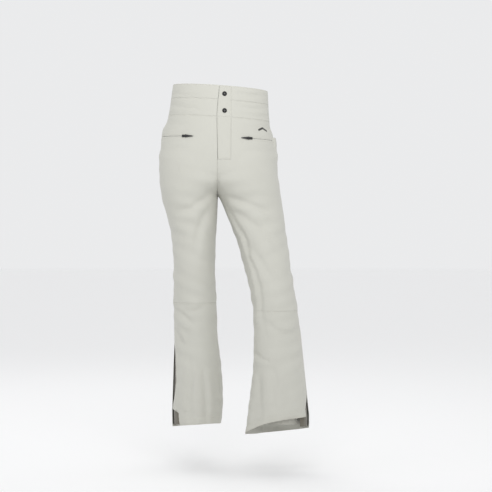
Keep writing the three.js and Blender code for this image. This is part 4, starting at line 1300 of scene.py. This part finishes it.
# ---------------------------------------------------------------- inside the legs
# Pocket bags in thin brushed cloth, a taupe ribbed gusset behind each hem zip, and a snow
# gaiter with a gripping elastic edge inside each hem.
elastic_cloth = woven("gaiter_cloth", (0.50, 0.49, 0.45), (0.42, 0.41, 0.37), 0.75, 0.25,
                      weave=520.0, depth=0.0001)
grip_cloth = woven("grip_elastic", (0.58, 0.57, 0.51), (0.46, 0.45, 0.40), 0.7, 0.3,
                   weave=520.0, depth=0.0005, rib=0)
BAG_TOP_Z, BAG_FOOT_Z = POCKET_Z + 14, -318
GUSSET_HALF = 62
GUSSET_DEPTH = 10.0
RIB_PITCH = 5.0
CUFF_TOP_Z, CUFF_FOOT_Z, GRIP_FOOT_Z = -900, -1046, -1070
CUFF_DEPTH, GRIP_DEPTH = 24.4, 23.8
GATHERS = 46
for side in SIDES:
    bag_z = stops(BAG_TOP_Z, BAG_FOOT_Z, step=5.0)[:, None]
    share = spaced(150, 5.0)[None, :]
    fall = (bag_z - BAG_TOP_Z) / (BAG_FOOT_Z - BAG_TOP_Z)
    bag_angle = 0.16 + (0.86 - 0.3 * fall * fall) * share
    bag_sink = 10.8 + 0.5 * np.sin(bag_z / 19.0) * np.sin(np.pi * share)
    inner_strip(f"brushed_pocket_bag_{side}", f"pocket_bag_{side}",
                skin(side, bag_angle, bag_z, bag_sink), outward(side, bag_angle, bag_z), brushed,
                1.6)
    gusset_z = stops(VENT_TOP_Z + 12, HEM_Z + 6, step=3.0)[:, None]
    gusset_arc = (spaced(2 * GUSSET_HALF, 2.4) * 2 * GUSSET_HALF - GUSSET_HALF)[None, :]
    gusset_angle = gusset_arc / middle_half(side, gusset_z)[1]
    gusset_drop = hem_drop(side, gusset_angle, gusset_z)
    ribs = 0.4 * np.cos(gusset_arc * 2 * np.pi / RIB_PITCH)
    bulge = step_up(14, 19, np.abs(gusset_arc)) * step_up(812, 840, -gusset_z)
    ribs = ribs - 7.4 * bulge * (1 - 0.45 * step_up(45, GUSSET_HALF, np.abs(gusset_arc)))
    inner_strip(f"ribbed_gusset_{side}", f"hem_gusset_{side}",
                skin(side, gusset_angle, gusset_drop, GUSSET_DEPTH + ribs),
                outward(side, gusset_angle, gusset_drop), taupe, 1.2)
    cuff_angle = np.linspace(-np.pi, np.pi, 241)[None, :-1]
    cuff_z = stops(CUFF_TOP_Z, CUFF_FOOT_Z, step=4.0)[:, None]
    gathered = 0.9 * np.cos(GATHERS * cuff_angle) * step_up(960, -CUFF_FOOT_Z, -cuff_z)
    inner_strip(f"snow_cuff_{side}", f"snow_gaiter_{side}",
                skin(side, cuff_angle, cuff_z, CUFF_DEPTH + gathered * 0.4),
                outward(side, cuff_angle, cuff_z), elastic_cloth, 1.1,
                looped=True)
    grip_z = stops(CUFF_FOOT_Z - GAP, GRIP_FOOT_Z, step=2.0)[:, None]
    grip_sink = (GRIP_DEPTH + 0.3 * np.cos(GATHERS * cuff_angle)
                 + 0.4 * np.cos(grip_z * 2 * np.pi / 6.0))
    inner_strip(f"grip_band_{side}", f"gaiter_grip_{side}",
                skin(side, cuff_angle, grip_z, grip_sink), outward(side, cuff_angle, grip_z),
                grip_cloth, 1.8, looped=True)


# ---------------------------------------------------------------- sliders and pulls
# Moulded black sliders, each two domed plates on a neck with a bail, and a teardrop pull
# moulded over its flat core, thick at the bail and drawn out to a fine tip.
SLIDER_LENGTH, SLIDER_WIDTH, PLATE = 10, 8, 1.0
BAIL_AT = 2.5


def track_frame(origin, along, out):
    """A slider's own frame: its origin, its run, the direction across, and outwards."""
    along = unit(along)
    out = unit(out - along * (out @ along))
    return origin, along, np.cross(out, along), out


def pocket_frame(side):
    """The hip slider's frame at the shut end, on the circle through the zip's two ends and
    middle: its centre is where the three points' bisecting planes meet."""
    at = [skin(side, share, POCKET_Z) for share in
          (POCKET_OPEN, (POCKET_OPEN + POCKET_CLOSED) / 2, POCKET_CLOSED)]
    ab, ac = at[1] - at[0], at[2] - at[0]
    axis = np.cross(ab, ac)
    centre = at[0] + (np.cross(axis, ab) * (ac @ ac) + np.cross(ac, axis) * (ab @ ab)) / (
        2 * axis @ axis)
    out = at[2] - centre
    return track_frame(at[2], np.cross(unit(axis), out), out)


def hem_slider_frame(side):
    """The hem slider's frame, from the straight run of its zip."""
    low, _, down, across, out = hem_frame(side)
    return low, down, across, out


fly_start = fly_place(0.06, 0.0, FLY_ZIP_DEPTH)
fly_frame = track_frame(fly_start, fly_place(1.0, 0.0, FLY_ZIP_DEPTH) - fly_start,
                        np.array([0.0, -1.0, 0.0]))


def in_frame(frame_of, x, y, z):
    """Points given along, across and out of a slider's frame."""
    origin, along, across, out = frame_of
    x, y, z = np.broadcast_arrays(x, y, z)
    return origin + x[..., None] * along + y[..., None] * across + z[..., None] * out


def pillow(frame_of, centre, half, bend=0.45, rings=14, sides=28):
    """A rounded block: every coordinate is its half size times the cosine or sine of two
    turns, each raised to a power below one, so that the faces flatten."""
    rise = np.linspace(-np.pi / 2 + 0.02, np.pi / 2 - 0.02, rings)[:, None]
    turn = np.linspace(0, 2 * np.pi, sides, endpoint=False)[None, :]

    def soft(value, power):
        return np.sign(value) * np.abs(value) ** power

    x = centre[0] + half[0] * soft(np.cos(rise), bend) * soft(np.cos(turn), bend)
    y = centre[1] + half[1] * soft(np.cos(rise), bend) * soft(np.sin(turn), bend)
    z = centre[2] + half[2] * soft(np.sin(rise), 0.8) + 0 * turn
    return in_frame(frame_of, x, y, z)


def bail(frame_of, top):
    """The slider's bail: a round wire carried over half an oval above the top plate."""
    sweep = np.linspace(0, np.pi, 22)[:, None]
    turn = np.linspace(0, 2 * np.pi, 12, endpoint=False)[None, :]
    x = BAIL_AT + (1.45 + 0.45 * np.cos(turn)) * np.cos(sweep)
    z = top + PLATE - 0.25 + (2.05 + 0.45 * np.cos(turn)) * np.sin(sweep)
    return in_frame(frame_of, x, 1.0 * np.sin(turn) + 0 * sweep, z)


def teardrop(frame_of, top, length, root_half, tip_half, thick):
    """The pull over its core: ovals along it, their width drawn in from root to tip, their
    thickness swelling behind the root, with three shallow grip grooves."""
    share = np.sin(np.linspace(0, np.pi / 2, 40))[:, None]
    share = np.concatenate([np.linspace(0, 0.08, 6)[:, None], share[share[:, 0] > 0.09]])
    turn = np.linspace(0, 2 * np.pi, 24, endpoint=False)[None, :]
    start = np.sqrt(np.clip(1 - (1 - np.clip(share / 0.12, 0, 1)) ** 2, 0.003, 1))
    end = np.sqrt(np.clip(1 - np.clip((share - 0.93) / 0.07, 0, 1) ** 2, 0.003, 1))
    width = (root_half + (tip_half - root_half) * share ** 0.85) * start * end
    grooves = 0.14 * np.exp(-((np.abs(share - 0.5) - 0.06 * np.arange(3)[:, None, None]) / 0.016)
                            ** 2).sum(0)
    height = (thick * (1 - 0.45 * share) - grooves) * start * end
    x = BAIL_AT + 2.6 + (length - 2.3) * share + 0 * turn
    bar = top + PLATE - 0.1 + 0.95
    return in_frame(frame_of, x, width * np.cos(turn), bar + height * np.sin(turn))


def moulded_slider(label, node, slider_body, pull_body, frame_of, top, bottom, pull):
    """One slider and its pull: the plates, neck and bail replace the slider's node, and
    the teardrop rides with the pull's flat core, which stays."""
    half_length, half_width = SLIDER_LENGTH / 2, SLIDER_WIDTH / 2
    forms = {
        "top_plate": pillow(frame_of, (0, 0, top + PLATE / 2),
                            (half_length, half_width, PLATE / 2)),
        "bottom_plate": pillow(frame_of, (0, 0, bottom - PLATE / 2),
                               (half_length, half_width, PLATE / 2)),
        "neck": pillow(frame_of, (0, 0, (top + bottom) / 2),
                       (half_length - 1, 0.4, (top - bottom) / 2 + 0.2)),
        "bail": bail(frame_of, top),
        "pull": teardrop(frame_of, top, **pull),
    }
    for part, points in forms.items():
        mesh = ring_tubes(f"{label}_{part}", points)
        outward_mesh(mesh)
        piece = laid_piece(f"{label}_{part}", mesh, black_plastic,
                           pull_body if part == "pull" else slider_body)
        if part == "top_plate":
            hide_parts(f"{node}_slider")


TAPE_HALF = 1.3
FLY_PULL = dict(length=20, root_half=3.4, tip_half=2.2, thick=0.8)
HIP_PULL = dict(length=32, root_half=5.8, tip_half=0.9, thick=1.3)
HEM_PULL = dict(length=24, root_half=3.5, tip_half=2.0, thick=0.8)
moulded_slider("fly_runner", "fly", "fly_slider", "fly_slider", fly_frame,
               TAPE_HALF - FLY_ZIP_DEPTH, -TAPE_HALF - FLY_ZIP_DEPTH, FLY_PULL)
for side in SIDES:
    moulded_slider(f"hip_runner_{side}", f"pocket_{side}", f"pocket_slider_{side}",
                   f"pocket_pull_{side}", pocket_frame(side), 1.1, -POCKET_ZIP_DEPTH - 2.2,
                   HIP_PULL)
    moulded_slider(f"hem_runner_{side}", f"hem_{side}", f"hem_slider_{side}",
                   f"hem_pull_{side}", hem_slider_frame(side),
                   TAPE_HALF - HEM_ZIP_DEPTH, -TAPE_HALF - HEM_ZIP_DEPTH, HEM_PULL)
